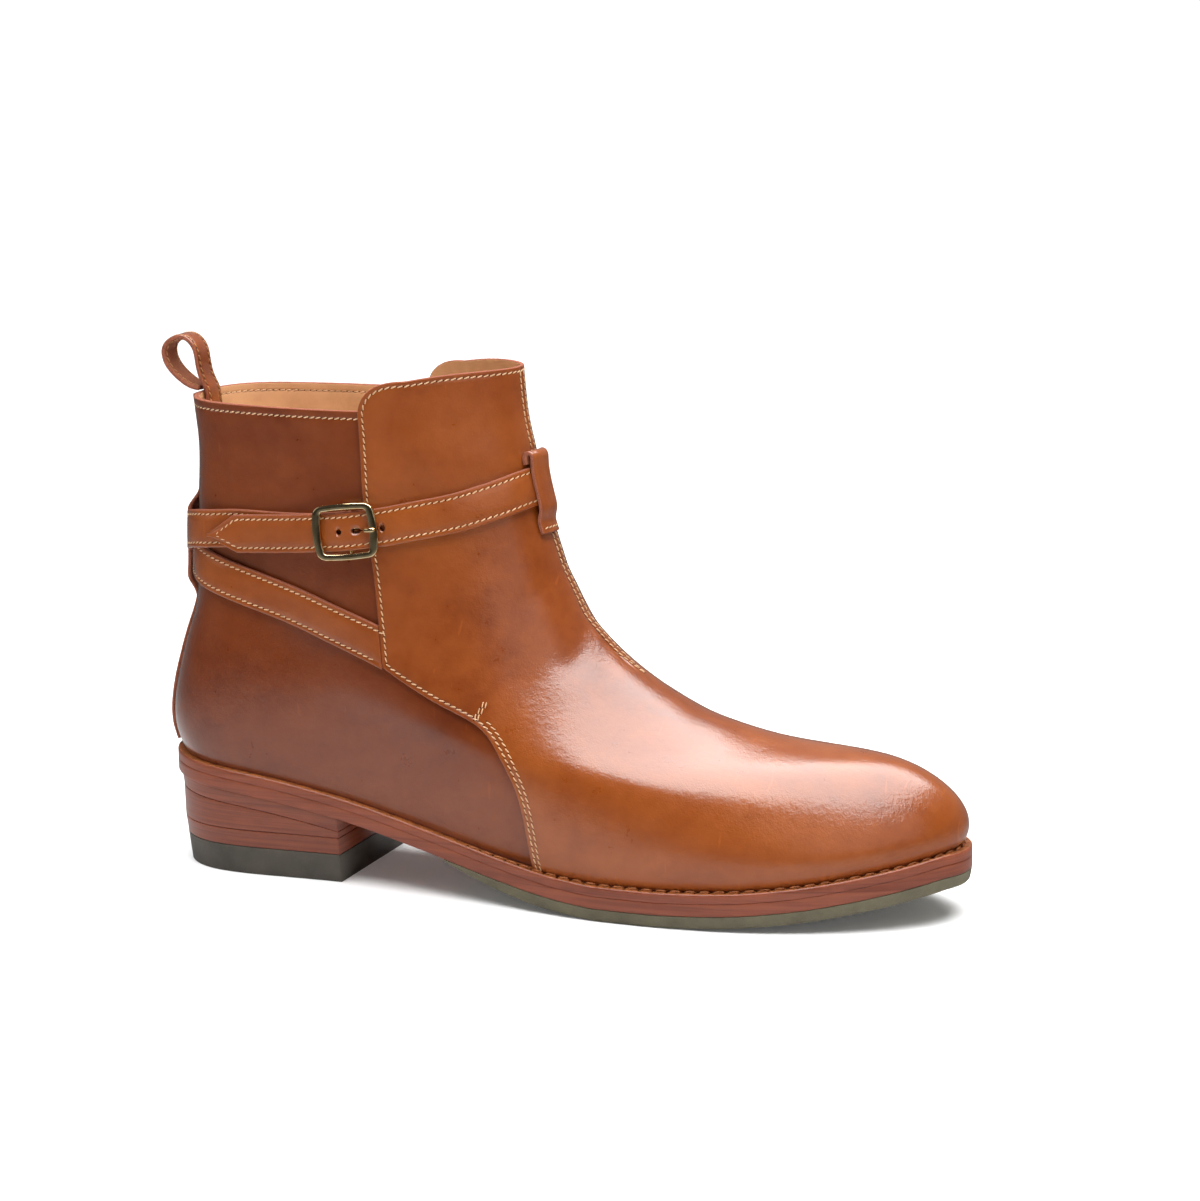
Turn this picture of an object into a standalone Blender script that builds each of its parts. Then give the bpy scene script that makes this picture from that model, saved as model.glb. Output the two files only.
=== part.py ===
"""Jodhpur boot for the right foot: every piece that its maker puts together, at its real size.

Inside this file x runs from the back of the heel's feather line towards the toe, y towards the inner
(medial) side and z up from the floor, in metres. An empty then carries the pieces to the boot's own
frame, whose origin lies on the floor under the middle of the heel.
"""

import math

import bmesh
import bpy
import numpy as np
from mathutils import Matrix

# Last: length, breadth and heights of the line where upper and welt meet (the feather line)
LAST_LENGTH = 0.2972
BALL_BREADTH = 0.090
HEEL_SEAT_HEIGHT = 0.0430
TOE_SPRING = 0.0125
SHAFT_RISE = 0.133
FRONT_RISE = 0.155

# Leather thicknesses and the clearance that neighbours keep
UPPER_WALL = 0.0020
VAMP_THICKNESS = 0.0016
STRAP_THICKNESS = 0.0018
STAY_THICKNESS = 0.0015
KEEPER_THICKNESS = 0.0015
CLEARANCE = 0.0003
WRAP_CLEARANCE = 0.0004
SOLE_CLEARANCE = 0.0005

# Bottom of the boot
WELT_THICKNESS = 0.0034
OUTSOLE_THICKNESS = 0.0042
HALF_SOLE_THICKNESS = 0.0045
HALF_SOLE_REAR = 0.118
HALF_SOLE_TAPER = 0.040
HALF_SOLE_THIN = 0.0010
WELT_MARGIN_FOREFOOT = 0.0055
WELT_MARGIN_WAIST = 0.0030
WELT_MARGIN_HEEL = 0.0026
WELT_SEAT = 0.0034
HEEL_LENGTH = 0.0735
HEEL_TAPER = 0.0042
TOP_PIECE_THICKNESS = 0.0105
TOP_LIFT_THICKNESS = 0.0050
BOTTOM_LIFT_THICKNESS = 0.0062
WEDGE_FRONT_THICKNESS = 0.0022
INSOLE_THICKNESS = 0.0055
INSOLE_INSET = 0.0040

# Strap, stay, loop and keeper
STRAP_WIDTH = 0.0140
STAY_WIDTH_TOP = 0.0120
STAY_WIDTH_BOTTOM = 0.0230
TUNNEL_HEIGHT = 0.0420
LOOP_WIDTH = 0.0105
LOOP_THICKNESS = 0.0016
LOOP_LENGTH = 0.0210
KEEPER_WIDTH = 0.0115
KEEPER_SHIFT = -0.0027
KEEPER_ROLL = 0.0010
SHAFT_FRONT_RADIUS = 0.0150
HOLE_RADIUS = 0.0011

# Buckle: a flat frame with a lower bar behind it, which the fold of the buckle strap holds
BUCKLE_ANGLE = 94.0
BUCKLE_LENGTH = 0.0238
BUCKLE_HEIGHT = 0.0198
BUCKLE_CORNER = 0.0032
BUCKLE_BOW = 0.0006
BUCKLE_BAR = 0.0030
BUCKLE_RAIL = 0.0022
BUCKLE_DEPTH = 0.0018
BUCKLE_LIFT = 0.0058
BUCKLE_ARCH = 0.0015
CENTRE_BAR_LIFT = 0.0021
CENTRE_BAR_RADIUS = 0.00065
FOLD_RADIUS = 0.0013
PRONG_WIDTH = 0.0015
PRONG_THICKNESS = 0.0008
HOLE_PLACES = (-0.22, 1.12)
SLOT_BACK = 0.0030
SLOT_FRONT = 0.0060
SLOT_WIDTH = 0.0022
PUNCH_DEPTH = 0.0160

# Sampling of the faceted solids
COLUMNS = 60

# One row for each ring of the upper, from the feather line up. back_x and front_x are shares of
# LAST_LENGTH, back_z of SHAFT_RISE above the heel seat, front_z of FRONT_RISE above the toe's feather
# line. sag is how much of the sole's curve the ring keeps, tip the shift of its front end to the inner
# side, and l30 to l150 and m30 to m150 the outer and inner half breadths at those angles round the
# ring (0 at the heel, 180 at the toe), all four as shares of BALL_BREADTH.
RING_COLUMNS = ("back_x back_z front_x front_z sag tip "
                "l30 l60 l90 l120 l150 m30 m60 m90 m120 m150").split()
RINGS = (
    (0.000, 0.000, 1.000, 0.000, 1.00, .070, .310, .325, .405, .415, .205, .320, .325, .360, .470, .320),
    (-.010, 0.075, 1.008, 0.050, 1.00, .070, .330, .345, .432, .442, .215, .335, .350, .410, .495, .330),
    (-.007, 0.165, 0.987, 0.118, 0.90, .065, .340, .362, .445, .430, .185, .345, .368, .422, .445, .285),
    (0.003, 0.255, 0.920, 0.182, 0.75, .055, .338, .372, .440, .400, .165, .338, .375, .425, .415, .230),
    (0.015, 0.340, 0.811, 0.203, 0.55, .045, .325, .372, .430, .370, .165, .325, .374, .420, .375, .195),
    (0.027, 0.420, 0.695, 0.256, 0.35, .035, .306, .362, .408, .345, .165, .306, .363, .402, .345, .180),
    (0.031, 0.505, 0.597, 0.358, 0.20, .025, .282, .348, .385, .325, .170, .282, .348, .380, .325, .175),
    (0.032, 0.600, 0.530, 0.498, 0.08, .015, .260, .337, .370, .312, .172, .260, .337, .368, .312, .174),
    (0.034, 0.730, 0.488, 0.696, 0.00, .010, .246, .328, .355, .300, .165, .246, .328, .355, .300, .165),
    (0.036, 0.865, 0.466, 0.874, 0.00, .005, .238, .324, .348, .292, .158, .238, .324, .348, .292, .158),
    (0.030, 1.000, 0.457, 0.972, 0.00, .000, .236, .325, .348, .288, .152, .236, .325, .348, .288, .152),
    (0.027, 1.170, 0.450, 1.150, 0.00, .000, .236, .327, .350, .288, .150, .236, .327, .350, .288, .150),
)
COLLAR_RING = 10
TOP_RING = 11

# Height of the feather line along the last: share of LAST_LENGTH, and share of the heel's rise above
# the forefoot, or of the toe spring once past the flat tread.
SEAT_LINE = (
    (0.00, 1.00), (0.13, 0.875), (0.25, 0.670), (0.36, 0.430), (0.48, 0.160), (0.55, 0.045), (0.60, 0.0),
)
SPRING_LINE = ((0.68, 0.0), (0.76, 0.085), (0.84, 0.28), (0.92, 0.60), (1.00, 1.0))

# Side view of the wing's free edge and of the seam that joins it to the quarter: share of LAST_LENGTH
# from the heel, and share of SHAFT_RISE above the heel seat, from the top corner down to the welt.
WING_TOP = ((0.500, 1.108), (0.460, 1.107), (0.400, 1.101), (0.345, 1.083))
WING_CORNER_REACH = 0.291
WING_EDGE = ((0.289, 0.990), (0.292, 0.900), (0.297, 0.713), (0.306, 0.604), (0.314, 0.480), (0.3235, 0.310))
VAMP_SEAM = (
    (0.361, 0.262), (0.400, 0.219), (0.436, 0.185), (0.460, 0.150), (0.480, 0.097), (0.496, 0.039),
    (0.507, -0.020), (0.514, -0.095), (0.518, -0.180), (0.520, -0.260),
)

# Strap paths: angle round the ring in degrees (falling past 0 at the heel to the inner side), height
# of the centre line as a share of SHAFT_RISE above the heel seat, then what lies under the strap: the
# wing (1 or 0), how many straps, and how far the buckle's bar arches it (1 at the bar).
STRAP_COLUMNS = "angle height wing straps arch".split()
LONG_STRAP = (
    (99.0, 0.322, 0, 0, 0), (88.0, 0.381, 0, 0, 0), (80.0, 0.416, 0, 0, 0), (69.0, 0.458, 0, 0, 0),
    (52.0, 0.501, 0, 0, 0), (36.0, 0.533, 0, 0, 0), (17.0, 0.564, 0, 0, 0), (0.0, 0.585, 0, 0, 0),
    (-17.0, 0.606, 0, 0, 0), (-36.0, 0.630, 0, 0, 0), (-60.0, 0.658, 0, 0, 0), (-80.0, 0.677, 0, 0, 0),
    (-88.0, 0.685, 0, 0, 0), (-95.0, 0.692, 1, 0, 0), (-120.0, 0.722, 1, 0, 0), (-150.0, 0.764, 1, 0, 0),
    (-165.0, 0.783, 1, 0, 0), (-180.0, 0.789, 1, 0, 0), (-195.0, 0.783, 1, 0, 0),
    (-215.0, 0.757, 1, 0, 0), (-230.5, 0.731, 1, 0, 0), (-244.5, 0.711, 1, 0, 0),
    (-257.4, 0.690, 1, 0, 0), (-261.4, 0.686, 1, 0, 0.80), (-263.5, 0.683, 0.94, 0, 1.12),
    (-266.0, 0.680, 0, 1, 1.00), (-270.0, 0.676, 0, 1, 0.75), (-275.0, 0.672, 0, 1, 0.15),
    (-279.0, 0.668, 0, 1, 0.05), (-290.0, 0.660, 0, 1, 0.05), (-303.0, 0.652, 0, 1.08, 0.05),
    (-311.0, 0.646, 0, 1.5, 0.05), (-319.0, 0.638, 0, 1.95, 0.05),
)
BUCKLE_STRAP = (
    (-99.0, 0.322, 0, 0, 0), (-88.0, 0.381, 0, 0, 0), (-80.0, 0.416, 0, 0, 0), (-69.0, 0.458, 0, 0, 0),
    (-60.0, 0.482, 0, 0, 0), (-46.0, 0.513, 0, 1, 0), (-36.0, 0.533, 0, 1, 0), (-17.0, 0.566, 0, 1, 0),
    (0.0, 0.598, 0, 1, 0), (12.0, 0.618, 0, 1, 0), (22.0, 0.635, 0, 1, 0), (36.0, 0.651, 0, 1, 0),
    (54.0, 0.662, 0, 0, 0), (70.0, 0.664, 0, 0, 0), (80.0, 0.667, 0, 0, 0), (86.0, 0.6715, 0, 0, 0),
    (94.0, 0.680, 0, 0, 0), (99.0, 0.6855, 0, 0, 0),
)
TIP_LENGTH_DEG = 12.0

# Fold of the buckle strap round the bar: distance before the bar and lift of its middle as shares of
# the fold's radius, and thickness as a share of STRAP_THICKNESS. The bar's lift is added to the lift.
FOLD = (
    (-6.90, -0.615, 1.00), (-5.20, -0.28, 0.90), (-3.40, 0.45, 0.50), (-1.60, 0.88, 0.45),
    (0.00, 1.00, 0.444), (0.50, 0.866, 0.444), (0.866, 0.50, 0.444), (1.00, 0.00, 0.444),
    (0.866, -0.50, 0.444), (0.50, -0.866, 0.444), (0.00, -1.00, 0.444), (-1.50, -1.00, 0.444),
    (-3.00, -1.00, 0.444), (-4.20, -1.00, 0.444),
)

# Prong from the top of its ring round the bar to the tip on the frame: distance before the bar and
# lift of its middle, as shares of half the buckle's length.
PRONG_LINE = (
    (0.20, 0.277), (0.35, 0.288), (0.47, 0.361), (0.58, 0.479), (0.70, 0.580), (0.86, 0.612),
    (0.985, 0.590),
)
PRONG_RING = 0.92

# Pull loop's middle line seen from the side: distance forward of the shaft's back edge and height
# above the collar, as shares of LOOP_LENGTH, from the end inside the collar to the one outside.
LOOP_LINE = (
    (0.245, -0.576), (0.214, -0.290), (0.184, -0.050), (0.146, 0.076), (0.071, 0.233), (0.019, 0.424),
    (-0.005, 0.590), (-0.048, 0.748), (-0.171, 0.893), (-0.362, 0.936), (-0.562, 0.838),
    (-0.650, 0.665), (-0.580, 0.425), (-0.367, 0.205), (-0.150, 0.075), (0.024, 0.042),
)

# Colours (linear), roughness and metallic value of each material
COLOURS = {
    "tan_leather": ((0.36, 0.115, 0.026), 0.32, 0.0),
    "sole_leather": ((0.26, 0.075, 0.035), 0.5, 0.0),
    "lining_leather": ((0.55, 0.27, 0.11), 0.6, 0.0),
    "olive_rubber": ((0.10, 0.09, 0.055), 0.8, 0.0),
    "dark_rubber": ((0.045, 0.04, 0.033), 0.7, 0.0),
    "brass": ((0.72, 0.55, 0.25), 0.2, 1.0),
}


def material(name):
    found = bpy.data.materials.get(name)
    if found:
        return found
    colour, roughness, metallic = COLOURS[name]
    made = bpy.data.materials.new(name)
    made.use_nodes = True
    shader = made.node_tree.nodes["Principled BSDF"]
    shader.inputs["Base Color"].default_value = (*colour, 1.0)
    shader.inputs["Roughness"].default_value = roughness
    shader.inputs["Metallic"].default_value = metallic
    return made


def spline_weights(count, places, closed):
    """Weights of count evenly spaced knots in a cubic spline at the given places (0 is the first knot)."""
    rows = np.zeros((count, count))
    bends = np.zeros((count, count))
    for i in range(count):
        if not closed and i in (0, count - 1):
            rows[i, i] = 1.0
            continue
        before, after = (i - 1) % count, (i + 1) % count
        rows[i, [before, i, after]] = 1.0, 4.0, 1.0
        bends[i, [before, i, after]] = 6.0, -12.0, 6.0
    bends = np.linalg.solve(rows, bends)
    places = np.asarray(places, float)
    if closed:
        places = places % count
    start = np.clip(np.floor(places).astype(int), 0, count - 1 if closed else count - 2)
    part = (places - start)[..., None]
    end = (start + 1) % count
    knots = np.eye(count)
    return ((1 - part) * knots[start] + part * knots[end]
            + ((1 - part) ** 3 - (1 - part)) * bends[start] / 6
            + (part ** 3 - part) * bends[end] / 6)


def smooth(rows, at, column=1):
    """Monotone cubic through the rows of a table, read at the first column's values."""
    x = np.array([row[0] for row in rows], float)
    y = np.array([row[column] for row in rows], float)
    at = np.clip(np.asarray(at, float), x[0], x[-1])
    slope = np.diff(y) / np.diff(x)
    tangent = np.zeros(len(x))
    for i in range(1, len(x) - 1):
        if slope[i - 1] * slope[i] > 0:
            tangent[i] = 2 * slope[i - 1] * slope[i] / (slope[i - 1] + slope[i])
    tangent[0], tangent[-1] = slope[0], slope[-1]
    i = np.clip(np.searchsorted(x, at, side="right") - 1, 0, len(x) - 2)
    width = x[i + 1] - x[i]
    t = (at - x[i]) / width
    return ((1 + 2 * t) * (1 - t) ** 2 * y[i] + t * (1 - t) ** 2 * width * tangent[i]
            + t * t * (3 - 2 * t) * y[i + 1] + t * t * (t - 1) * width * tangent[i + 1])


def forefoot_height():
    """Height of the feather line over the flat tread: the sole's layers on each other."""
    return WELT_THICKNESS + OUTSOLE_THICKNESS + HALF_SOLE_THICKNESS + SOLE_CLEARANCE + CLEARANCE


def seat_height(x):
    """Height of the welt's top face at x."""
    share = np.asarray(x, float) / LAST_LENGTH
    base = forefoot_height()
    rear = smooth(SEAT_LINE, share) * (HEEL_SEAT_HEIGHT - base)
    front = smooth(SPRING_LINE, share) * TOE_SPRING
    return base + np.where(share < SEAT_LINE[-1][0], rear, 0) + np.where(share > SPRING_LINE[0][0], front, 0)


def last_point(angle, ring):
    """Point of the upper's outer face: angle in degrees round the ring from the heel by the outer side."""
    angle, ring = np.broadcast_arrays(np.asarray(angle, float), np.asarray(ring, float))
    table = spline_weights(len(RINGS), ring, False) @ np.array(RINGS)
    named = {name: table[..., i] for i, name in enumerate(RING_COLUMNS)}
    theta = np.radians(angle)
    share = (1 - np.cos(theta)) / 2
    back_x, front_x = named["back_x"] * LAST_LENGTH, named["front_x"] * LAST_LENGTH
    back_z = HEEL_SEAT_HEIGHT + named["back_z"] * SHAFT_RISE
    toe_z = forefoot_height() + TOE_SPRING
    front_z = toe_z + named["front_z"] * FRONT_RISE
    x = back_x + (front_x - back_x) * share
    straight = HEEL_SEAT_HEIGHT + (toe_z - HEEL_SEAT_HEIGHT) * share
    curve = seat_height(share * LAST_LENGTH) - straight
    z = back_z + (front_z - back_z) * share + named["sag"] * curve
    zero = np.zeros_like(named["tip"])
    breadths = np.stack(
        [zero] + [-named[f"l{a}"] for a in (30, 60, 90, 120, 150)] + [named["tip"]]
        + [named[f"m{a}"] for a in (150, 120, 90, 60, 30)], axis=-1) * BALL_BREADTH
    y = (spline_weights(12, angle / 30.0, True) * breadths).sum(-1)
    return np.stack([x, y, z], axis=-1)


def last_normal(angle, ring):
    """Outward normal of the upper's outer face, level at the feather line."""
    step = 1e-3
    along = last_point(np.asarray(angle) + step * 30, ring) - last_point(np.asarray(angle) - step * 30, ring)
    low, high = np.clip(np.asarray(ring) - step, 0, TOP_RING), np.clip(np.asarray(ring) + step, 0, TOP_RING)
    up = last_point(angle, high) - last_point(angle, low)
    normal = np.cross(along, up)
    level = np.clip(np.asarray(ring, float), 0, 1)
    normal[..., 2] *= level
    return normal / np.linalg.norm(normal, axis=-1, keepdims=True)


def last_offset(angle, ring, lift):
    """Point at the given lift outside (or, if negative, inside) the upper's outer face."""
    angle, ring, lift = np.broadcast_arrays(angle, ring, lift)
    return last_point(angle, ring) + last_normal(angle, ring) * lift[..., None]


def ring_at(angle, height):
    """Ring number where the upper reaches the given height at this angle."""
    rings = np.linspace(0, TOP_RING, 221)
    angle, height = np.broadcast_arrays(np.asarray(angle, float), np.asarray(height, float))
    found = [np.interp(h, last_point(a, rings)[:, 2], rings) for a, h in zip(angle.ravel(), height.ravel())]
    return np.array(found).reshape(angle.shape)


def at_height(angle, height, lift):
    """Point on the shaft by angle and height, at a lift from its outer face."""
    return last_offset(angle, ring_at(angle, height), lift)


def angle_from_y(y, height, middle):
    """Angle near the heel (middle 0) or the front (middle 180) at which the upper has this y."""
    turn = np.linspace(-70, 70, 281)
    angles = middle + turn
    found = [np.interp(value, ys if ys[0] < ys[-1] else ys[::-1], angles if ys[0] < ys[-1] else angles[::-1])
             for value, h in zip(np.ravel(y), np.ravel(height))
             for ys in [last_point(angles, ring_at(middle, h))[:, 1]]]
    return np.array(found).reshape(np.shape(y))


def shaft_height(share):
    return HEEL_SEAT_HEIGHT + np.asarray(share, float) * SHAFT_RISE


def over_last(angle, height, slope, lift, thickness, half):
    """The four long edges of a strip on the last, square to its path of the given slope (height for each
    degree). lift is that of its middle; the strip may fold back over itself."""
    angle, height, slope, lift = (np.asarray(v, float) for v in (angle, height, slope, lift))
    level = np.zeros_like(angle)
    turn = at_height(angle + 0.5, height, level) - at_height(angle - 0.5, height, level)
    climb = (at_height(angle, height + 0.001, level) - at_height(angle, height - 0.001, level)) / 0.002
    path = turn + climb * slope[:, None]
    lean = -(climb * path).sum(1) / (turn * path).sum(1)
    across = turn * lean[:, None] + climb
    reach = half / np.linalg.norm(across, axis=1)
    step = np.linalg.norm(path, axis=1)
    along, rise = np.gradient(angle) * step, np.gradient(lift)
    length = np.hypot(along, rise)
    back, out = -rise / length * thickness / 2 / step, along / length * thickness / 2
    sides = []
    for face, edge in ((-1, -1), (-1, 1), (1, 1), (1, -1)):
        sides.append(at_height(angle + face * back + edge * lean * reach,
                               height + face * back * slope + edge * reach, lift + face * out))
    return np.stack(sides, axis=1)


def new_frame(angle, height, slope):
    """Origin on the last and axes along a strap, up across it and outward."""
    origin = at_height(np.array([angle]), np.array([height]), np.array([0.0]))[0]
    out = last_normal(np.array([angle]), ring_at(np.array([angle]), np.array([height])))[0]
    level = np.cross(np.array([0.0, 0.0, 1.0]), out)
    level /= np.linalg.norm(level)
    along = level + np.array([0.0, 0.0, slope])
    along -= out * (along @ out)
    along /= np.linalg.norm(along)
    return origin, along, np.cross(out, along), out


def new_object(name, mesh, group, finish, root):
    obj = bpy.data.objects.new(name, mesh)
    group.objects.link(obj)
    obj.parent = root
    if finish:
        mesh.materials.append(material(finish))
    return obj


def mesh_from(points, faces):
    mesh = bpy.data.meshes.new("surface")
    mesh.from_pydata([tuple(p) for p in np.asarray(points).reshape(-1, 3)], [], faces)
    work = bmesh.new()
    work.from_mesh(mesh)
    bmesh.ops.recalc_face_normals(work, faces=work.faces)
    work.to_mesh(mesh)
    work.free()
    mesh.shade_smooth()
    mesh.set_sharp_from_angle(angle=math.radians(38))
    return mesh


def tube_faces(rows, columns, close_rows):
    """Quads between rows of points, each row a closed loop. The ends are capped, or rows close in a ring."""
    faces = []
    for i in range(rows if close_rows else rows - 1):
        for j in range(columns):
            a, b = i * columns, (i + 1) % rows * columns
            k = (j + 1) % columns
            faces.append((a + j, a + k, b + k, b + j))
    if not close_rows:
        faces.append(tuple(range(columns)))
        faces.append(tuple(range((rows - 1) * columns, rows * columns)))
    return faces


def shell_mesh(inner_lift, outer_lift, rings):
    """Closed wall between two forms of the upper, open at the top and underneath."""
    angles = np.arange(COLUMNS) * 360.0 / COLUMNS
    outside = last_offset(angles[None, :], np.array(rings)[:, None], outer_lift)
    inside = last_offset(angles[None, :], np.array(rings)[:, None], inner_lift)
    for face in (outside, inside):
        face[0, :, 2] = seat_height(face[0, :, 0])
        face[..., 2] += CLEARANCE
    points = np.concatenate([outside, inside[::-1]])
    return mesh_from(points, tube_faces(len(points), COLUMNS, True))


def ring_rows(last):
    """Ring numbers of the wall's rows, closer together where the upper is most curved."""
    half_steps = [1.0 + i / 2 for i in range(10)]
    return [0.0, 0.35, 0.7] + half_steps + [float(i) for i in range(6, last + 1)]


def outline(margin):
    """Plan of the feather line moved out by a margin, as an array of x, y. Margins vary from heel to toe."""
    angles = np.arange(COLUMNS) * 360.0 / COLUMNS
    points = last_point(angles, np.zeros(COLUMNS))[:, :2]
    normals = last_normal(angles, np.zeros(COLUMNS))[:, :2]
    return points + normals * np.broadcast_to(margin, (COLUMNS,))[:, None]


def welt_margin():
    """How far the welt stands out from the feather line at each column."""
    angles = np.radians(np.arange(COLUMNS) * 360.0 / COLUMNS)
    share = (1 - np.cos(angles)) / 2
    rows = ((0.0, WELT_MARGIN_HEEL), (0.22, WELT_MARGIN_HEEL), (0.42, WELT_MARGIN_WAIST),
            (0.62, WELT_MARGIN_FOREFOOT), (1.0, WELT_MARGIN_FOREFOOT))
    return smooth(rows, share)


def slab_mesh(top_edge, bottom_edge, top, bottom):
    """Solid between two outlines; top and bottom give the height of each point from its x and y."""
    top_points = np.column_stack([top_edge, top(top_edge)])
    bottom_points = np.column_stack([bottom_edge, bottom(bottom_edge)])
    count = COLUMNS
    faces = [(j, (j + 1) % count, count + (j + 1) % count, count + j) for j in range(count)]
    for base in (0, count):
        faces.append((base, base + 1, base + count - 1))
        faces.append((base + count // 2 - 1, base + count // 2, base + count // 2 + 1))
        for j in range(1, count // 2 - 1):
            faces.append((base + j, base + j + 1, base + count - j - 1, base + count - j))
    return mesh_from(np.concatenate([top_points, bottom_points]), faces)


def box_cutter(name, low, high, group, root):
    """A box between two corners, as a cutter."""
    mesh = bpy.data.meshes.new(name)
    work = bmesh.new()
    bmesh.ops.create_cube(work, size=1.0)
    size = [b - a for a, b in zip(low, high)]
    middle = [(a + b) / 2 for a, b in zip(low, high)]
    bmesh.ops.scale(work, vec=size, verts=work.verts)
    bmesh.ops.translate(work, vec=middle, verts=work.verts)
    work.to_mesh(mesh)
    work.free()
    return hide_cutter(new_object(name, mesh, group, None, root))


def hide_cutter(obj):
    obj.hide_render = True
    obj.display_type = "WIRE"
    return obj


def boolean(obj, cutter, operation):
    made = obj.modifiers.new(cutter.name, "BOOLEAN")
    made.operation = operation
    made.object = cutter
    made.solver = "EXACT"


def rounded_path(points, steps):
    """Natural cubic through the points of an outline."""
    places = np.linspace(0, len(points) - 1, (len(points) - 1) * steps + 1)
    return spline_weights(len(points), places, False) @ np.array(points, float)


def wing_outline():
    """Side view of the vamp and its wings: top edge, rounded corner, free edge and seam."""
    top = [(x * LAST_LENGTH, float(shaft_height(z))) for x, z in WING_TOP]
    edge = [(x * LAST_LENGTH, float(shaft_height(z))) for x, z in WING_EDGE]
    seam = [(x * LAST_LENGTH, float(shaft_height(z))) for x, z in VAMP_SEAM]
    corner_x, corner_z = WING_CORNER_REACH * LAST_LENGTH, top[-1][1]
    corner = [((1 - t) ** 2 * top[-1][0] + 2 * t * (1 - t) * corner_x + t * t * edge[0][0],
               (1 - t) ** 2 * top[-1][1] + 2 * t * (1 - t) * corner_z + t * t * edge[0][1])
              for t in (0.2, 0.4, 0.6, 0.8)]
    free = list(map(tuple, rounded_path(edge, 2)))
    joined = list(map(tuple, rounded_path([edge[-1]] + seam, 2)))[1:]
    front = 1.2 * LAST_LENGTH
    return [(front, top[0][1])] + top + corner + free + joined + [(front, joined[-1][1])]


def prism(name, outline_points, reach, group, root):
    """A side view outline run across the boot between two values of y, as a cutter."""
    rows = [[(x, y, z) for x, z in outline_points] for y in reach]
    mesh = mesh_from(rows, tube_faces(2, len(outline_points), False))
    return hide_cutter(new_object(name, mesh, group, None, root))


def make_upper(parts, root):
    mesh = shell_mesh(-UPPER_WALL, 0.0, ring_rows(COLLAR_RING))
    return new_object("upper", mesh, parts, "tan_leather", root)


def make_vamp(parts, cutters, root):
    inner = WRAP_CLEARANCE
    mesh = shell_mesh(inner, inner + VAMP_THICKNESS, ring_rows(TOP_RING))
    vamp = new_object("vamp", mesh, parts, "tan_leather", root)
    boolean(vamp, prism("wing_cutter", wing_outline(), (-BALL_BREADTH, BALL_BREADTH), cutters, root), "INTERSECT")
    return vamp


def strap_lift(rows, angles):
    """Lift of the inner face of a strap from what lies under it."""
    wing, straps, arch = (smooth(rows, angles, STRAP_COLUMNS.index(name)) for name in ("wing", "straps", "arch"))
    return (WRAP_CLEARANCE + wing * (VAMP_THICKNESS + WRAP_CLEARANCE)
            + straps * (STRAP_THICKNESS + WRAP_CLEARANCE) + arch * BUCKLE_ARCH)


def strap_heights(path, angles):
    """Height of a strap's middle line and its rise for each degree."""
    rows = sorted(path)
    rise = shaft_height(smooth(rows, angles + 1.0)) - shaft_height(smooth(rows, angles - 1.0))
    return shaft_height(smooth(rows, angles)), rise / 2


def strap_stations(path, extra=()):
    """Angles of a strap's stations, twice as close as the columns of the upper."""
    step = 180.0 / COLUMNS
    low, high = min(path[0][0], path[-1][0]), max(path[0][0], path[-1][0])
    inside = [a * step for a in range(math.ceil(low / step), math.floor(high / step) + 1)]
    return np.array(sorted(set([low, high, *inside, *extra])))


def buckle_height():
    return float(shaft_height(smooth(sorted(LONG_STRAP), BUCKLE_ANGLE - 360.0)))


def buckle_frame():
    """Origin and axes of the buckle: along the strap, across it and outward."""
    ends = shaft_height(smooth(sorted(LONG_STRAP), [BUCKLE_ANGLE - 350.0, BUCKLE_ANGLE - 370.0]))
    angles = np.array([BUCKLE_ANGLE + 10.0, BUCKLE_ANGLE - 10.0])
    run = np.diff(at_height(angles, ends, 0.0), axis=0)[0]
    return new_frame(BUCKLE_ANGLE, buckle_height(), run[2] / run[0])


def place(frame, along, across, out):
    """World points of local ones in a frame."""
    origin, u, v, w = frame
    along, across, out = np.broadcast_arrays(along, across, out)
    return origin + along[..., None] * u + across[..., None] * v + out[..., None] * w


def wire_mesh(frame, centres, normals, half_width, half_depth, closed):
    """A bar swept through local points: normals lie across it, and half_width is measured along them."""
    centres, normals = np.asarray(centres, float), np.asarray(normals, float)
    tangent = np.gradient(centres, axis=0)
    if closed:
        tangent = np.roll(centres, -1, axis=0) - np.roll(centres, 1, axis=0)
    depth = np.cross(tangent, normals)
    depth /= np.linalg.norm(depth, axis=1, keepdims=True)
    half_width = np.broadcast_to(half_width, (len(centres),))[:, None, None]
    section = np.array([(1, .45), (.5, 1), (-.5, 1), (-1, .45), (-1, -.45), (-.5, -1), (.5, -1), (1, -.45)])
    local = (centres[:, None] + normals[:, None] * section[None, :, :1] * half_width
             + depth[:, None] * section[None, :, 1:] * half_depth)
    points = place(frame, local[..., 0], local[..., 1], local[..., 2])
    return mesh_from(points, tube_faces(len(centres), 8, closed))


def strap_start_cutter(name, side, cutters, root):
    """Trims a strap where it runs in under the wing's lower corner, on one side of the boot."""
    edge = [(x * LAST_LENGTH - CLEARANCE, float(shaft_height(z))) for x, z in WING_EDGE]
    low, high = shaft_height(WING_EDGE[-1][1]) - 0.030, shaft_height(0.50)
    line = [(float(np.interp(z, [p[1] for p in edge[::-1]], [p[0] for p in edge[::-1]])), float(z))
            for z in np.linspace(high, shaft_height(WING_EDGE[-1][1]), 5)]
    line += [(line[-1][0] + 0.002, float(low)), (0.6 * LAST_LENGTH, float(low)), (0.6 * LAST_LENGTH, float(high))]
    reach = (0.002, BALL_BREADTH) if side > 0 else (-BALL_BREADTH, -0.002)
    return prism(name, line, reach, cutters, root)


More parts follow.
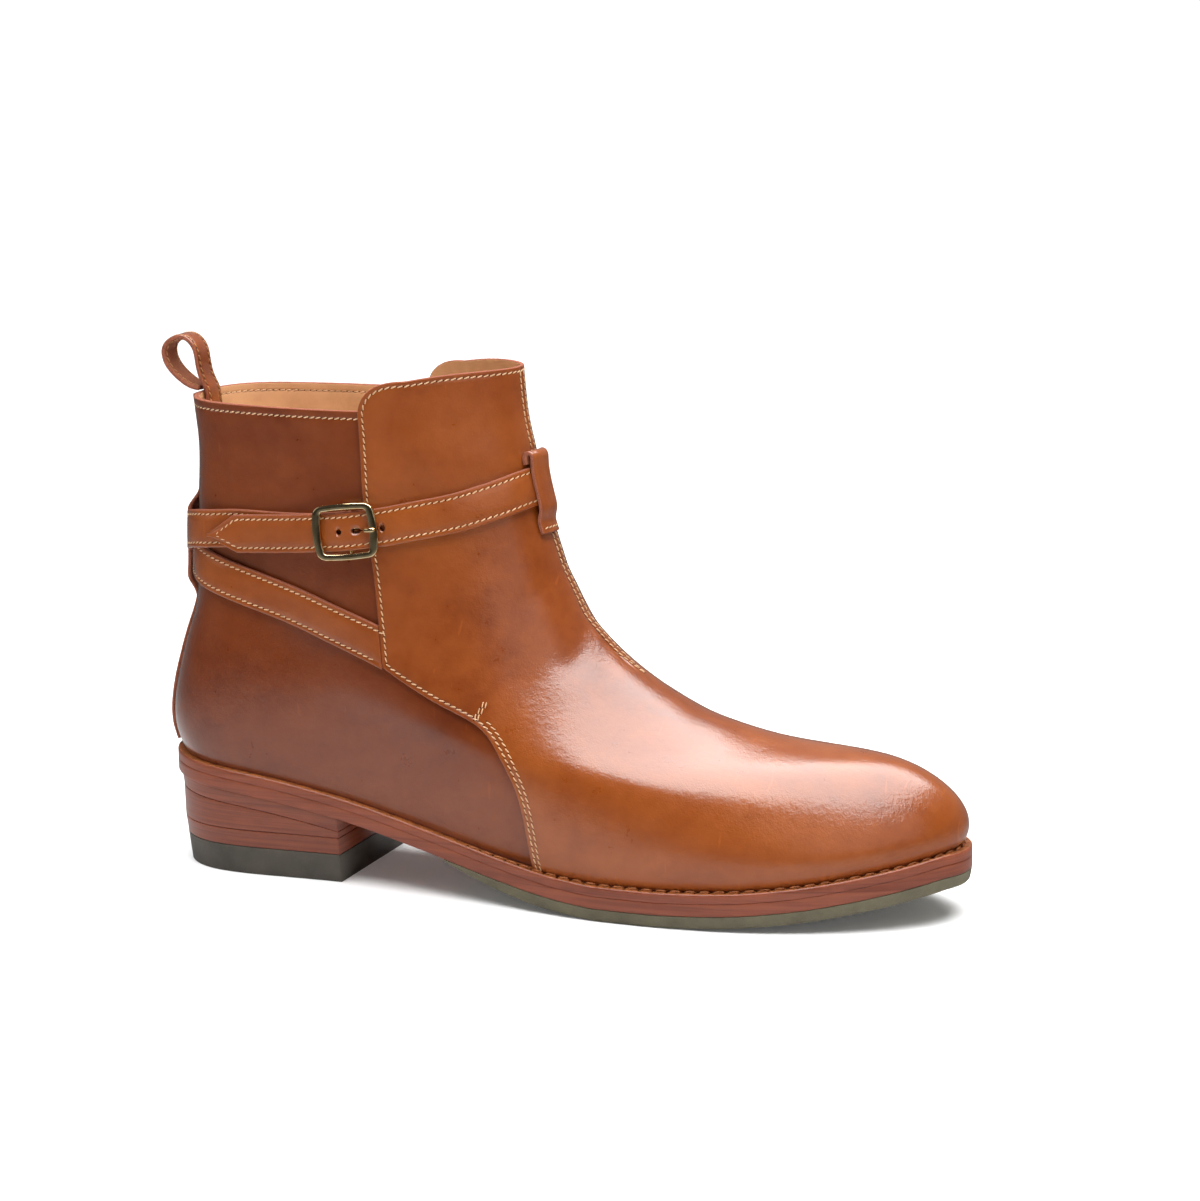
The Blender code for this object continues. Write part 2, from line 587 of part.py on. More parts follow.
def set_in(frame, work, along):
    """Moves a cutter's mesh into the buckle's frame, through the straps."""
    origin, u, v, w = frame
    middle = origin + u * along + w * BUCKLE_LIFT / 2
    work.transform(Matrix([[u[i], v[i], w[i], middle[i]] for i in range(3)] + [(0.0, 0.0, 0.0, 1.0)]))


def punch(name, frame, along, size, cutters, root):
    """A box through the straps, set along the buckle's frame, as a cutter."""
    mesh = bpy.data.meshes.new(name)
    work = bmesh.new()
    bmesh.ops.create_cube(work, size=1.0)
    bmesh.ops.scale(work, vec=size, verts=work.verts)
    set_in(frame, work, along)
    work.to_mesh(mesh)
    work.free()
    return hide_cutter(new_object(name, mesh, cutters, None, root))


def drill(name, frame, along, cutters, root):
    """A round rod through the straps, as a cutter."""
    mesh = bpy.data.meshes.new(name)
    work = bmesh.new()
    bmesh.ops.create_cone(work, cap_ends=True, segments=8, radius1=HOLE_RADIUS, radius2=HOLE_RADIUS,
                          depth=PUNCH_DEPTH)
    set_in(frame, work, along)
    work.to_mesh(mesh)
    work.free()
    return hide_cutter(new_object(name, mesh, cutters, None, root))


def prong_centres():
    """Middle line of the prong in the buckle's frame: a ring round the bar and the arm."""
    ring = PRONG_RING * FOLD_RADIUS
    turns = np.radians(np.arange(330.0, 89.0, -20.0))
    centres = [(ring * math.cos(t), 0.0, CENTRE_BAR_LIFT + ring * math.sin(t)) for t in turns]
    arm = rounded_path([(u * BUCKLE_LENGTH / 2, 0.0, w * BUCKLE_LENGTH / 2) for u, w in PRONG_LINE], 2)
    return centres, [tuple(p) for p in arm]


def make_straps(parts, cutters, root):
    frame = buckle_frame()
    tip = LONG_STRAP[-1][0]
    angles = strap_stations(LONG_STRAP, (tip + TIP_LENGTH_DEG, tip + TIP_LENGTH_DEG / 2, -94.0, -91.0, -88.0,
                                         -256.0, -259.0, -262.0, -264.0, -266.0, -268.0, -270.0, -273.0))
    rows = sorted(LONG_STRAP)
    heights, slope = strap_heights(LONG_STRAP, angles)
    half = STRAP_WIDTH / 2 * np.clip((angles - tip) / TIP_LENGTH_DEG, 0.10, 1.0)
    lift = strap_lift(rows, angles) + STRAP_THICKNESS / 2
    points = over_last(angles, heights, slope, lift, STRAP_THICKNESS, half)
    strap = new_object("long_strap", mesh_from(points, tube_faces(len(points), 4, False)), parts,
                       "tan_leather", root)
    boolean(strap, strap_start_cutter("long_strap_start", -1, cutters, root), "DIFFERENCE")
    ring, arm = prong_centres()
    swell = wire_mesh(frame, arm, np.tile((0.0, 1.0, 0.0), (len(arm), 1)),
                      PRONG_WIDTH / 2 + CLEARANCE, PRONG_THICKNESS / 2 + CLEARANCE, False)
    boolean(strap, hide_cutter(new_object("prong_hole", swell, cutters, None, root)), "DIFFERENCE")
    for name, share in zip(("free_hole", "next_hole"), HOLE_PLACES):
        along = share * BUCKLE_LENGTH / 2
        boolean(strap, drill(name, frame, along, cutters, root), "DIFFERENCE")

    angles = strap_stations(BUCKLE_STRAP)
    step = np.linalg.norm(np.diff(at_height(np.array([BUCKLE_ANGLE - .5, BUCKLE_ANGLE + .5]),
                                            np.full(2, buckle_height()), 0.0), axis=0))
    fold_angles = [BUCKLE_ANGLE + u * FOLD_RADIUS / step for u, _, _ in FOLD]
    angles = np.concatenate([angles[angles < fold_angles[0] - 2.0], fold_angles])
    rows = sorted(BUCKLE_STRAP)
    heights, slope = strap_heights(BUCKLE_STRAP, angles)
    heights = heights + (buckle_height() - heights[-len(FOLD) + 4]) * np.clip((angles - 60.0) / 20.0, 0, 1)
    lift = strap_lift(rows, angles) + STRAP_THICKNESS / 2
    lift[-len(FOLD):] = [CENTRE_BAR_LIFT + w * FOLD_RADIUS for _, w, _ in FOLD]
    thickness = np.full(len(angles), STRAP_THICKNESS)
    thickness[-len(FOLD):] = [t * STRAP_THICKNESS for _, _, t in FOLD]
    points = over_last(angles, heights, slope, lift, thickness, np.full(len(angles), STRAP_WIDTH / 2))
    strap = new_object("buckle_strap", mesh_from(points, tube_faces(len(points), 4, False)), parts,
                       "tan_leather", root)
    boolean(strap, strap_start_cutter("buckle_strap_start", 1, cutters, root), "DIFFERENCE")
    size = (SLOT_BACK + SLOT_FRONT, SLOT_WIDTH, PUNCH_DEPTH)
    cutter = punch("prong_slot", frame, (SLOT_FRONT - SLOT_BACK) / 2, size, cutters, root)
    boolean(strap, cutter, "DIFFERENCE")


def make_buckle(parts, cutters, root):
    """Rounded frame with the bar behind it, and the prong that turns on the bar."""
    frame = buckle_frame()
    half_u, half_v = (BUCKLE_LENGTH - BUCKLE_BAR) / 2, (BUCKLE_HEIGHT - BUCKLE_RAIL) / 2
    centres, normals, widths = [], [], []
    for quarter, (su, sv) in enumerate(((1, -1), (1, 1), (-1, 1), (-1, -1))):
        corner = (su * (half_u - BUCKLE_CORNER), sv * (half_v - BUCKLE_CORNER))
        for i in range(5):
            turn = math.radians(-90 + 90 * quarter + 22.5 * i)
            c, t = math.cos(turn), math.sin(turn)
            centres.append((corner[0] + BUCKLE_CORNER * c, corner[1] + BUCKLE_CORNER * t, BUCKLE_LIFT))
            normals.append((c, t, 0.0))
            widths.append((BUCKLE_RAIL + (BUCKLE_BAR - BUCKLE_RAIL) * c * c) / 2)
        if quarter in (0, 2):
            centres.append((su * (half_u + BUCKLE_BOW), 0.0, BUCKLE_LIFT))
            normals.append((su, 0.0, 0.0))
            widths.append(BUCKLE_BAR / 2)
        else:
            centres.append((0.0, sv * (half_v + BUCKLE_BOW / 2), BUCKLE_LIFT))
            normals.append((0.0, sv, 0.0))
            widths.append(BUCKLE_RAIL / 2)
    mesh = wire_mesh(frame, centres, normals, np.array(widths), BUCKLE_DEPTH / 2, True)
    buckle = new_object("buckle_frame", mesh, parts, "brass", root)
    low, high, side = CENTRE_BAR_LIFT, BUCKLE_LIFT + 0.0002, half_v + 0.0001
    line = [(0, -side, high), (0, -side, low + 0.0008), (0, -side + 0.0003, low + 0.0002),
            (0, -side + 0.0010, low), (0, 0, low),
            (0, side - 0.0010, low), (0, side - 0.0003, low + 0.0002), (0, side, low + 0.0008), (0, side, high)]
    bar = wire_mesh(frame, line, np.tile((1.0, 0.0, 0.0), (len(line), 1)), CENTRE_BAR_RADIUS,
                    CENTRE_BAR_RADIUS, False)
    boolean(buckle, hide_cutter(new_object("centre_bar", bar, cutters, None, root)), "UNION")
    ring, arm = prong_centres()
    line = ring + arm
    mesh = wire_mesh(frame, line, np.tile((0.0, 1.0, 0.0), (len(line), 1)), PRONG_WIDTH / 2,
                     PRONG_THICKNESS / 2, False)
    new_object("buckle_prong", mesh, parts, "brass", root)


def tunnel_bulge(height):
    """Extra lift of the back stay where the two straps pass under it."""
    middle = shaft_height(0.575)
    away = np.abs(np.asarray(height) - middle) / (TUNNEL_HEIGHT / 2)
    rise = 2 * STRAP_THICKNESS + 2 * WRAP_CLEARANCE
    flat = 0.58
    t = np.clip((1.0 - away) / (1.0 - flat), 0, 1)
    return rise * t * t * (3 - 2 * t)


def make_back_stay(parts, root):
    seat = HEEL_SEAT_HEIGHT + 0.0022
    heights = np.linspace(seat, shaft_height(1.0) - CLEARANCE, 28)
    share = (heights - heights[0]) / (heights[-1] - heights[0])
    half = (STAY_WIDTH_BOTTOM + (STAY_WIDTH_TOP - STAY_WIDTH_BOTTOM) * np.clip(share * 1.9, 0, 1)) / 2
    across = np.array([-1.0, -0.5, 0.0, 0.5, 1.0])
    y = half[:, None] * across[None, :]
    level = np.broadcast_to(heights[:, None], y.shape)
    angles = angle_from_y(y, level, 0.0)
    lift = WRAP_CLEARANCE + tunnel_bulge(level)
    inner = at_height(angles, level, lift)
    outer = at_height(angles, level, lift + STAY_THICKNESS)
    points = np.concatenate([inner, outer[:, ::-1]], axis=1)
    mesh = mesh_from(points, tube_faces(len(points), points.shape[1], False))
    new_object("back_stay", mesh, parts, "tan_leather", root)


def loop_centre_line():
    """Side view of the pull loop: from inside the collar, round the loop, to outside the collar."""
    back = last_point(0.0, float(COLLAR_RING))
    return [(float(back[0]) + x * LOOP_LENGTH, float(shaft_height(1.0)) + 2 * CLEARANCE + z * LOOP_LENGTH)
            for x, z in LOOP_LINE]


def ribbon_mesh(path, width, thickness):
    """A strip whose side view follows the path, width across y."""
    path = np.array(path)
    tangent = np.gradient(path, axis=0)
    tangent /= np.linalg.norm(tangent, axis=1, keepdims=True)
    normal = np.column_stack([-tangent[:, 1], tangent[:, 0]]) * thickness / 2
    rows = []
    for centre, out in zip(path, normal):
        a, b = centre + out, centre - out
        rows.append([(a[0], -width / 2, a[1]), (a[0], width / 2, a[1]),
                     (b[0], width / 2, b[1]), (b[0], -width / 2, b[1])])
    return mesh_from(rows, tube_faces(len(rows), 4, False))


def make_pull_loop(parts, root):
    path = rounded_path(loop_centre_line(), 2)
    mesh = ribbon_mesh(path, LOOP_WIDTH, LOOP_THICKNESS)
    new_object("pull_loop", mesh, parts, "tan_leather", root)


def make_keeper(parts, root):
    """Belt loop on the front seam: a roll above the strap, over it, and sewn down under it."""
    middle, reach = float(shaft_height(0.788)), STRAP_WIDTH / 2
    low = 2 * WRAP_CLEARANCE + VAMP_THICKNESS + KEEPER_THICKNESS / 2
    over = low + STRAP_THICKNESS + WRAP_CLEARANCE
    roll = KEEPER_ROLL
    top, foot = middle + reach, middle - reach
    path = rounded_path([
        (top + 0.6 * roll, low), (top + 2.2 * roll, low), (top + 3.7 * roll, low + 0.35 * roll),
        (top + 4.6 * roll, low + 1.3 * roll), (top + 4.3 * roll, low + 2.5 * roll),
        (top + 3.0 * roll, low + 3.1 * roll), (top + 1.0 * roll, low + 2.75 * roll), (top - 3.5 * roll, over),
        (foot + 1.8 * roll, over), (foot - 1.9 * roll, over - 0.1 * roll), (foot - 4.0 * roll, low + 1.1 * roll),
        (foot - 5.8 * roll, low + 0.25 * roll), (foot - 7.4 * roll, low + 0.15 * roll),
        (foot - 10.6 * roll, low + 0.3 * roll),
    ], 2)
    tangent = np.gradient(path, axis=0)
    tangent /= np.linalg.norm(tangent, axis=1, keepdims=True)
    normal = np.column_stack([tangent[:, 1], -tangent[:, 0]]) * KEEPER_THICKNESS / 2
    across = np.linspace(-0.5, 0.5, 5) * KEEPER_WIDTH + KEEPER_SHIFT
    rows = []
    for centre, out in zip(path, normal):
        faces = []
        for height, lift in (centre + out, centre - out):
            narrow = SHAFT_FRONT_RADIUS / (SHAFT_FRONT_RADIUS + lift)
            angles = angle_from_y(across * narrow, np.full(5, height), 180.0)
            faces.append(at_height(angles, np.full(5, height), np.full(5, lift)))
        rows.append(np.concatenate([faces[0], faces[1][::-1]]))
    mesh = mesh_from(rows, tube_faces(len(rows), 10, False))
    new_object("keeper", mesh, parts, "tan_leather", root)


def make_welt(parts, root):
    outer, inner = outline(welt_margin()), outline(-WELT_SEAT)
    rows = []
    for edge, drop in ((outer, 0.0), (inner, 0.0), (inner, WELT_THICKNESS), (outer, WELT_THICKNESS)):
        rows.append(np.column_stack([edge, seat_height(edge[:, 0]) - drop]))
    mesh = mesh_from(np.array(rows), tube_faces(4, COLUMNS, True))
    new_object("welt", mesh, parts, "sole_leather", root)


def outsole_bottom(edge):
    return seat_height(edge[:, 0]) - WELT_THICKNESS - SOLE_CLEARANCE - OUTSOLE_THICKNESS


def make_outsole(parts, root):
    edge = outline(welt_margin())
    mesh = slab_mesh(edge, edge, lambda e: outsole_bottom(e) + OUTSOLE_THICKNESS, outsole_bottom)
    new_object("outsole", mesh, parts, "sole_leather", root)


def make_half_sole(parts, cutters, root):
    edge = outline(welt_margin())
    slim = outline(welt_margin() - 0.0008)

    def bottom(e):
        share = np.clip((e[:, 0] - HALF_SOLE_REAR) / HALF_SOLE_TAPER, 0, 1)
        thickness = HALF_SOLE_THIN + (HALF_SOLE_THICKNESS - HALF_SOLE_THIN) * share * (2 - share)
        return outsole_bottom(e) - CLEARANCE - thickness

    mesh = slab_mesh(edge, slim, lambda e: outsole_bottom(e) - CLEARANCE, bottom)
    half = new_object("half_sole", mesh, parts, "olive_rubber", root)
    low = (-LAST_LENGTH, -BALL_BREADTH, -HEEL_SEAT_HEIGHT)
    high = (HALF_SOLE_REAR, BALL_BREADTH, 2 * HEEL_SEAT_HEIGHT)
    boolean(half, box_cutter("half_sole_cutter", low, high, cutters, root), "DIFFERENCE")


def heel_edge(height):
    """Plan of the heel at a height: it draws in towards the floor."""
    full = HEEL_SEAT_HEIGHT - WELT_THICKNESS - OUTSOLE_THICKNESS
    return outline(welt_margin() - HEEL_TAPER * np.clip(1 - height / full, 0, 1))


def make_heel(parts, cutters, root):
    """Top lift under the outsole, a wedge, a bottom lift and the rubber top piece. The leather layers share
    the height between rubber and outsole at the breast."""
    under_outsole = float(outsole_bottom(np.array([[HEEL_LENGTH, 0.0]]))[0]) - CLEARANCE
    layers = BOTTOM_LIFT_THICKNESS + WEDGE_FRONT_THICKNESS + TOP_LIFT_THICKNESS
    share = (under_outsole - TOP_PIECE_THICKNESS - 3 * CLEARANCE) / layers
    bottom_lift, top_lift = BOTTOM_LIFT_THICKNESS * share, TOP_LIFT_THICKNESS * share
    floor_levels = (TOP_PIECE_THICKNESS, TOP_PIECE_THICKNESS + CLEARANCE,
                    TOP_PIECE_THICKNESS + CLEARANCE + bottom_lift)
    breast = box_cutter("breast_cutter", (HEEL_LENGTH, -BALL_BREADTH, -HEEL_SEAT_HEIGHT),
                        (2 * LAST_LENGTH, BALL_BREADTH, 3 * HEEL_SEAT_HEIGHT), cutters, root)

    def flat(level):
        return lambda e: np.full(len(e), level)

    def below_outsole(drop):
        return lambda e: outsole_bottom(e) - CLEARANCE - drop

    levels = (
        ("top_lift", under_outsole, under_outsole - top_lift, below_outsole(0.0), below_outsole(top_lift),
         "sole_leather"),
        ("heel_wedge", under_outsole - top_lift - CLEARANCE, floor_levels[2] + CLEARANCE,
         below_outsole(top_lift + CLEARANCE), flat(floor_levels[2] + CLEARANCE), "sole_leather"),
        ("bottom_lift", floor_levels[2], floor_levels[1], flat(floor_levels[2]), flat(floor_levels[1]),
         "sole_leather"),
        ("top_piece", floor_levels[0], 0.0, flat(floor_levels[0]), flat(0.0), "dark_rubber"),
    )
    for name, high, low, top, bottom, finish in levels:
        mesh = slab_mesh(heel_edge(high), heel_edge(low), top, bottom)
        boolean(new_object(name, mesh, parts, finish, root), breast, "DIFFERENCE")


def make_insole(parts, root):
    edge = outline(-INSOLE_INSET)

    def bottom(e):
        return outsole_bottom(e) + OUTSOLE_THICKNESS + CLEARANCE

    mesh = slab_mesh(edge, edge, lambda e: bottom(e) + INSOLE_THICKNESS, bottom)
    new_object("insole", mesh, parts, "lining_leather", root)


def main():
    for obj in list(bpy.data.objects):
        bpy.data.objects.remove(obj)
    parts = bpy.data.collections.new("jodhpur_boot")
    cutters = bpy.data.collections.new("cutters")
    bpy.context.scene.collection.children.link(parts)
    bpy.context.scene.collection.children.link(cutters)
    root = bpy.data.objects.new("boot_frame", None)
    parts.objects.link(root)
    root.location = (-HEEL_LENGTH / 2, 0.0, 0.0)

    make_upper(parts, root)
    make_vamp(parts, cutters, root)
    make_back_stay(parts, root)
    make_pull_loop(parts, root)
    make_straps(parts, cutters, root)
    make_buckle(parts, cutters, root)
    make_keeper(parts, root)
    make_welt(parts, root)
    make_outsole(parts, root)
    make_half_sole(parts, cutters, root)
    make_heel(parts, cutters, root)
    make_insole(parts, root)


if __name__ == "__main__":
    main()
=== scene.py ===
"""Jodhpur boot: the finished look of each piece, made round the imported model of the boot.

Lengths are in metres in the boot's own frame: x towards the toe, y towards the inner (medial) side and z
up from the floor, with the origin under the middle of the heel.
"""

import math

import bmesh
import bpy
import numpy as np
from bpy.props import FloatProperty, FloatVectorProperty, PointerProperty
from mathutils import Matrix, Vector


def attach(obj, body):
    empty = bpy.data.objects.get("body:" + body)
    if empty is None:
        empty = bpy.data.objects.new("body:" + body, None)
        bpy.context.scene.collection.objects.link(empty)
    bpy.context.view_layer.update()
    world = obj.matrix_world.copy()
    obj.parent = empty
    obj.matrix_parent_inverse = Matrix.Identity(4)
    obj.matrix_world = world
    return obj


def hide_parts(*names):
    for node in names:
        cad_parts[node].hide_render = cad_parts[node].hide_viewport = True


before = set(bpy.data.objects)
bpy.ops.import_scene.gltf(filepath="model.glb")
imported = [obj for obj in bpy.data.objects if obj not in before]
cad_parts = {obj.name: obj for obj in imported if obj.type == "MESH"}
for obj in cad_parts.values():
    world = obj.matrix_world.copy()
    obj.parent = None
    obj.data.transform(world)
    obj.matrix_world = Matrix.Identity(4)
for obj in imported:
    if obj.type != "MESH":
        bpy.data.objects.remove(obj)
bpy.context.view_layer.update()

bl_info = {
    "name": "Jodhpur boot",
    "version": (1, 0, 0),
    "blender": (4, 5, 0),
    "location": "3D View > Sidebar > Boot",
    "description": "Dresses the packed jodhpur boot with leather, stitches, sole edges and a buckle",
    "category": "Add Mesh",
}

# Last and pattern: the sizes of the boot's solids, but for BUCKLE_CORNER, which is tighter here
LAST_LENGTH = 0.2972
BALL_BREADTH = 0.090
HEEL_SEAT_HEIGHT = 0.0430
TOE_SPRING = 0.0125
SHAFT_RISE = 0.133
FRONT_RISE = 0.155
UPPER_WALL = 0.0020
VAMP_THICKNESS = 0.0016
STRAP_THICKNESS = 0.0018
STAY_THICKNESS = 0.0015
KEEPER_THICKNESS = 0.0015
CLEARANCE = 0.0003
WRAP_CLEARANCE = 0.0004
SOLE_CLEARANCE = 0.0005
WELT_THICKNESS = 0.0034
OUTSOLE_THICKNESS = 0.0042
HALF_SOLE_THICKNESS = 0.0045
HALF_SOLE_REAR = 0.118
HALF_SOLE_TAPER = 0.040
HALF_SOLE_THIN = 0.0010
WELT_MARGIN_FOREFOOT = 0.0055
WELT_MARGIN_WAIST = 0.0030
WELT_MARGIN_HEEL = 0.0026
WELT_SEAT = 0.0034
HEEL_LENGTH = 0.0735
HEEL_TAPER = 0.0042
TOP_PIECE_THICKNESS = 0.0105
TOP_LIFT_THICKNESS = 0.0050
BOTTOM_LIFT_THICKNESS = 0.0062
INSOLE_THICKNESS = 0.0055
INSOLE_INSET = 0.0040
STRAP_WIDTH = 0.0140
STAY_WIDTH_TOP = 0.0120
STAY_WIDTH_BOTTOM = 0.0230
STAY_FOOT = 0.0022
TUNNEL_HEIGHT = 0.0420
TUNNEL_MIDDLE = 0.575
LOOP_WIDTH = 0.0105
LOOP_THICKNESS = 0.0016
LOOP_LENGTH = 0.0210
KEEPER_WIDTH = 0.0115
KEEPER_SHIFT = -0.0027
KEEPER_MIDDLE = 0.788
KEEPER_ROLL = 0.0010
SHAFT_FRONT_RADIUS = 0.0150
HOLE_RADIUS = 0.0011
BUCKLE_ANGLE = 94.0
BUCKLE_LENGTH = 0.0238
BUCKLE_HEIGHT = 0.0198
BUCKLE_CORNER = 0.0026
BUCKLE_BOW = 0.0006
BUCKLE_BAR = 0.0030
BUCKLE_RAIL = 0.0022
BUCKLE_DEPTH = 0.0018
BUCKLE_LIFT = 0.0058
BUCKLE_ARCH = 0.0015
CENTRE_BAR_LIFT = 0.0021
CENTRE_BAR_RADIUS = 0.00065
FOLD_RADIUS = 0.0013
PRONG_WIDTH = 0.0015
PRONG_THICKNESS = 0.0008
PRONG_RING = 0.92
TIP_LENGTH_DEG = 12.0
COLLAR_RING = 10
TOP_RING = 11

# One row for each ring of the upper, from the feather line up. back_x and front_x are shares of
# LAST_LENGTH, back_z of SHAFT_RISE above the heel seat, front_z of FRONT_RISE above the toe's feather
# line. sag is how much of the sole's curve the ring keeps, tip the shift of its front end to the inner
# side, and l30 to l150 and m30 to m150 the outer and inner half breadths at those angles round the
# ring (0 at the heel, 180 at the toe), all four as shares of BALL_BREADTH.
RING_COLUMNS = ("back_x back_z front_x front_z sag tip "
                "l30 l60 l90 l120 l150 m30 m60 m90 m120 m150").split()
RINGS = (
    (0.000, 0.000, 1.000, 0.000, 1.00, .070, .310, .325, .405, .415, .205, .320, .325, .360, .470, .320),
    (-.010, 0.075, 1.008, 0.050, 1.00, .070, .330, .345, .432, .442, .215, .335, .350, .410, .495, .330),
    (-.007, 0.165, 0.987, 0.118, 0.90, .065, .340, .362, .445, .430, .185, .345, .368, .422, .445, .285),
    (0.003, 0.255, 0.920, 0.182, 0.75, .055, .338, .372, .440, .400, .165, .338, .375, .425, .415, .230),
    (0.015, 0.340, 0.811, 0.203, 0.55, .045, .325, .372, .430, .370, .165, .325, .374, .420, .375, .195),
    (0.027, 0.420, 0.695, 0.256, 0.35, .035, .306, .362, .408, .345, .165, .306, .363, .402, .345, .180),
    (0.031, 0.505, 0.597, 0.358, 0.20, .025, .282, .348, .385, .325, .170, .282, .348, .380, .325, .175),
    (0.032, 0.600, 0.530, 0.498, 0.08, .015, .260, .337, .370, .312, .172, .260, .337, .368, .312, .174),
    (0.034, 0.730, 0.488, 0.696, 0.00, .010, .246, .328, .355, .300, .165, .246, .328, .355, .300, .165),
    (0.036, 0.865, 0.466, 0.874, 0.00, .005, .238, .324, .348, .292, .158, .238, .324, .348, .292, .158),
    (0.030, 1.000, 0.457, 0.972, 0.00, .000, .236, .325, .348, .288, .152, .236, .325, .348, .288, .152),
    (0.027, 1.170, 0.450, 1.150, 0.00, .000, .236, .327, .350, .288, .150, .236, .327, .350, .288, .150),
)

# Height of the feather line along the last: share of LAST_LENGTH, and share of the heel's rise above
# the forefoot, or of the toe spring once past the flat tread.
SEAT_LINE = (
    (0.00, 1.00), (0.13, 0.875), (0.25, 0.670), (0.36, 0.430), (0.48, 0.160), (0.55, 0.045), (0.60, 0.0),
)
SPRING_LINE = ((0.68, 0.0), (0.76, 0.085), (0.84, 0.28), (0.92, 0.60), (1.00, 1.0))

# Side view of the wing's free edge and of the seam that joins it to the quarter: share of LAST_LENGTH
# from the heel, and share of SHAFT_RISE above the heel seat, from the top corner down to the welt.
WING_TOP = ((0.500, 1.108), (0.460, 1.107), (0.400, 1.101), (0.345, 1.083))
WING_CORNER_REACH = 0.291
WING_EDGE = ((0.289, 0.990), (0.292, 0.900), (0.297, 0.713), (0.306, 0.604), (0.314, 0.480), (0.3235, 0.310))
VAMP_SEAM = (
    (0.361, 0.262), (0.400, 0.219), (0.436, 0.185), (0.460, 0.150), (0.480, 0.097), (0.496, 0.039),
    (0.507, -0.020), (0.514, -0.095), (0.518, -0.180), (0.520, -0.260),
)

# Strap paths: angle round the ring in degrees (falling past 0 at the heel to the inner side), height
# of the centre line as a share of SHAFT_RISE above the heel seat, then what lies under the strap: the
# wing (1 or 0), how many straps, and how far the buckle's bar arches it (1 at the bar).
STRAP_COLUMNS = "angle height wing straps arch".split()
LONG_STRAP = (
    (99.0, 0.322, 0, 0, 0), (88.0, 0.381, 0, 0, 0), (80.0, 0.416, 0, 0, 0), (69.0, 0.458, 0, 0, 0),
    (52.0, 0.501, 0, 0, 0), (36.0, 0.533, 0, 0, 0), (17.0, 0.564, 0, 0, 0), (0.0, 0.585, 0, 0, 0),
    (-17.0, 0.606, 0, 0, 0), (-36.0, 0.630, 0, 0, 0), (-60.0, 0.658, 0, 0, 0), (-80.0, 0.677, 0, 0, 0),
    (-88.0, 0.685, 0, 0, 0), (-95.0, 0.692, 1, 0, 0), (-120.0, 0.722, 1, 0, 0), (-150.0, 0.764, 1, 0, 0),
    (-165.0, 0.783, 1, 0, 0), (-180.0, 0.789, 1, 0, 0), (-195.0, 0.783, 1, 0, 0),
    (-215.0, 0.757, 1, 0, 0), (-230.5, 0.731, 1, 0, 0), (-244.5, 0.711, 1, 0, 0),
    (-257.4, 0.690, 1, 0, 0), (-261.4, 0.686, 1, 0, 0.80), (-263.5, 0.683, 0.94, 0, 1.12),
    (-266.0, 0.680, 0, 1, 1.00), (-270.0, 0.676, 0, 1, 0.75), (-275.0, 0.672, 0, 1, 0.15),
    (-279.0, 0.668, 0, 1, 0.05), (-290.0, 0.660, 0, 1, 0.05), (-303.0, 0.652, 0, 1.08, 0.05),
    (-311.0, 0.646, 0, 1.5, 0.05), (-319.0, 0.638, 0, 1.95, 0.05),
)
BUCKLE_STRAP = (
    (-99.0, 0.322, 0, 0, 0), (-88.0, 0.381, 0, 0, 0), (-80.0, 0.416, 0, 0, 0), (-69.0, 0.458, 0, 0, 0),
    (-60.0, 0.482, 0, 0, 0), (-46.0, 0.513, 0, 1, 0), (-36.0, 0.533, 0, 1, 0), (-17.0, 0.566, 0, 1, 0),
    (0.0, 0.598, 0, 1, 0), (12.0, 0.618, 0, 1, 0), (22.0, 0.635, 0, 1, 0), (36.0, 0.651, 0, 1, 0),
    (54.0, 0.662, 0, 0, 0), (70.0, 0.664, 0, 0, 0), (80.0, 0.667, 0, 0, 0), (86.0, 0.6715, 0, 0, 0),
    (94.0, 0.680, 0, 0, 0), (99.0, 0.6855, 0, 0, 0),
)

# Fold of the buckle strap round the bar: distance before the bar and lift of its middle as shares of
# the fold's radius, and thickness as a share of STRAP_THICKNESS.
FOLD = (
    (-6.90, -0.615, 1.00), (-5.20, -0.28, 0.90), (-3.40, 0.45, 0.50), (-1.60, 0.88, 0.45),
    (0.00, 1.00, 0.444), (0.50, 0.866, 0.444), (0.866, 0.50, 0.444), (1.00, 0.00, 0.444),
    (0.866, -0.50, 0.444), (0.50, -0.866, 0.444), (0.00, -1.00, 0.444), (-1.50, -1.00, 0.444),
    (-3.00, -1.00, 0.444), (-4.20, -1.00, 0.444),
)
PRONG_LINE = (
    (0.20, 0.277), (0.35, 0.288), (0.47, 0.361), (0.58, 0.479), (0.70, 0.580), (0.86, 0.612),
    (0.985, 0.590),
)
LOOP_LINE = (
    (0.245, -0.576), (0.214, -0.290), (0.184, -0.050), (0.146, 0.076), (0.071, 0.233), (0.019, 0.424),
    (-0.005, 0.590), (-0.048, 0.748), (-0.171, 0.893), (-0.362, 0.936), (-0.562, 0.838),
    (-0.650, 0.665), (-0.580, 0.425), (-0.367, 0.205), (-0.150, 0.075), (0.024, 0.042),
)

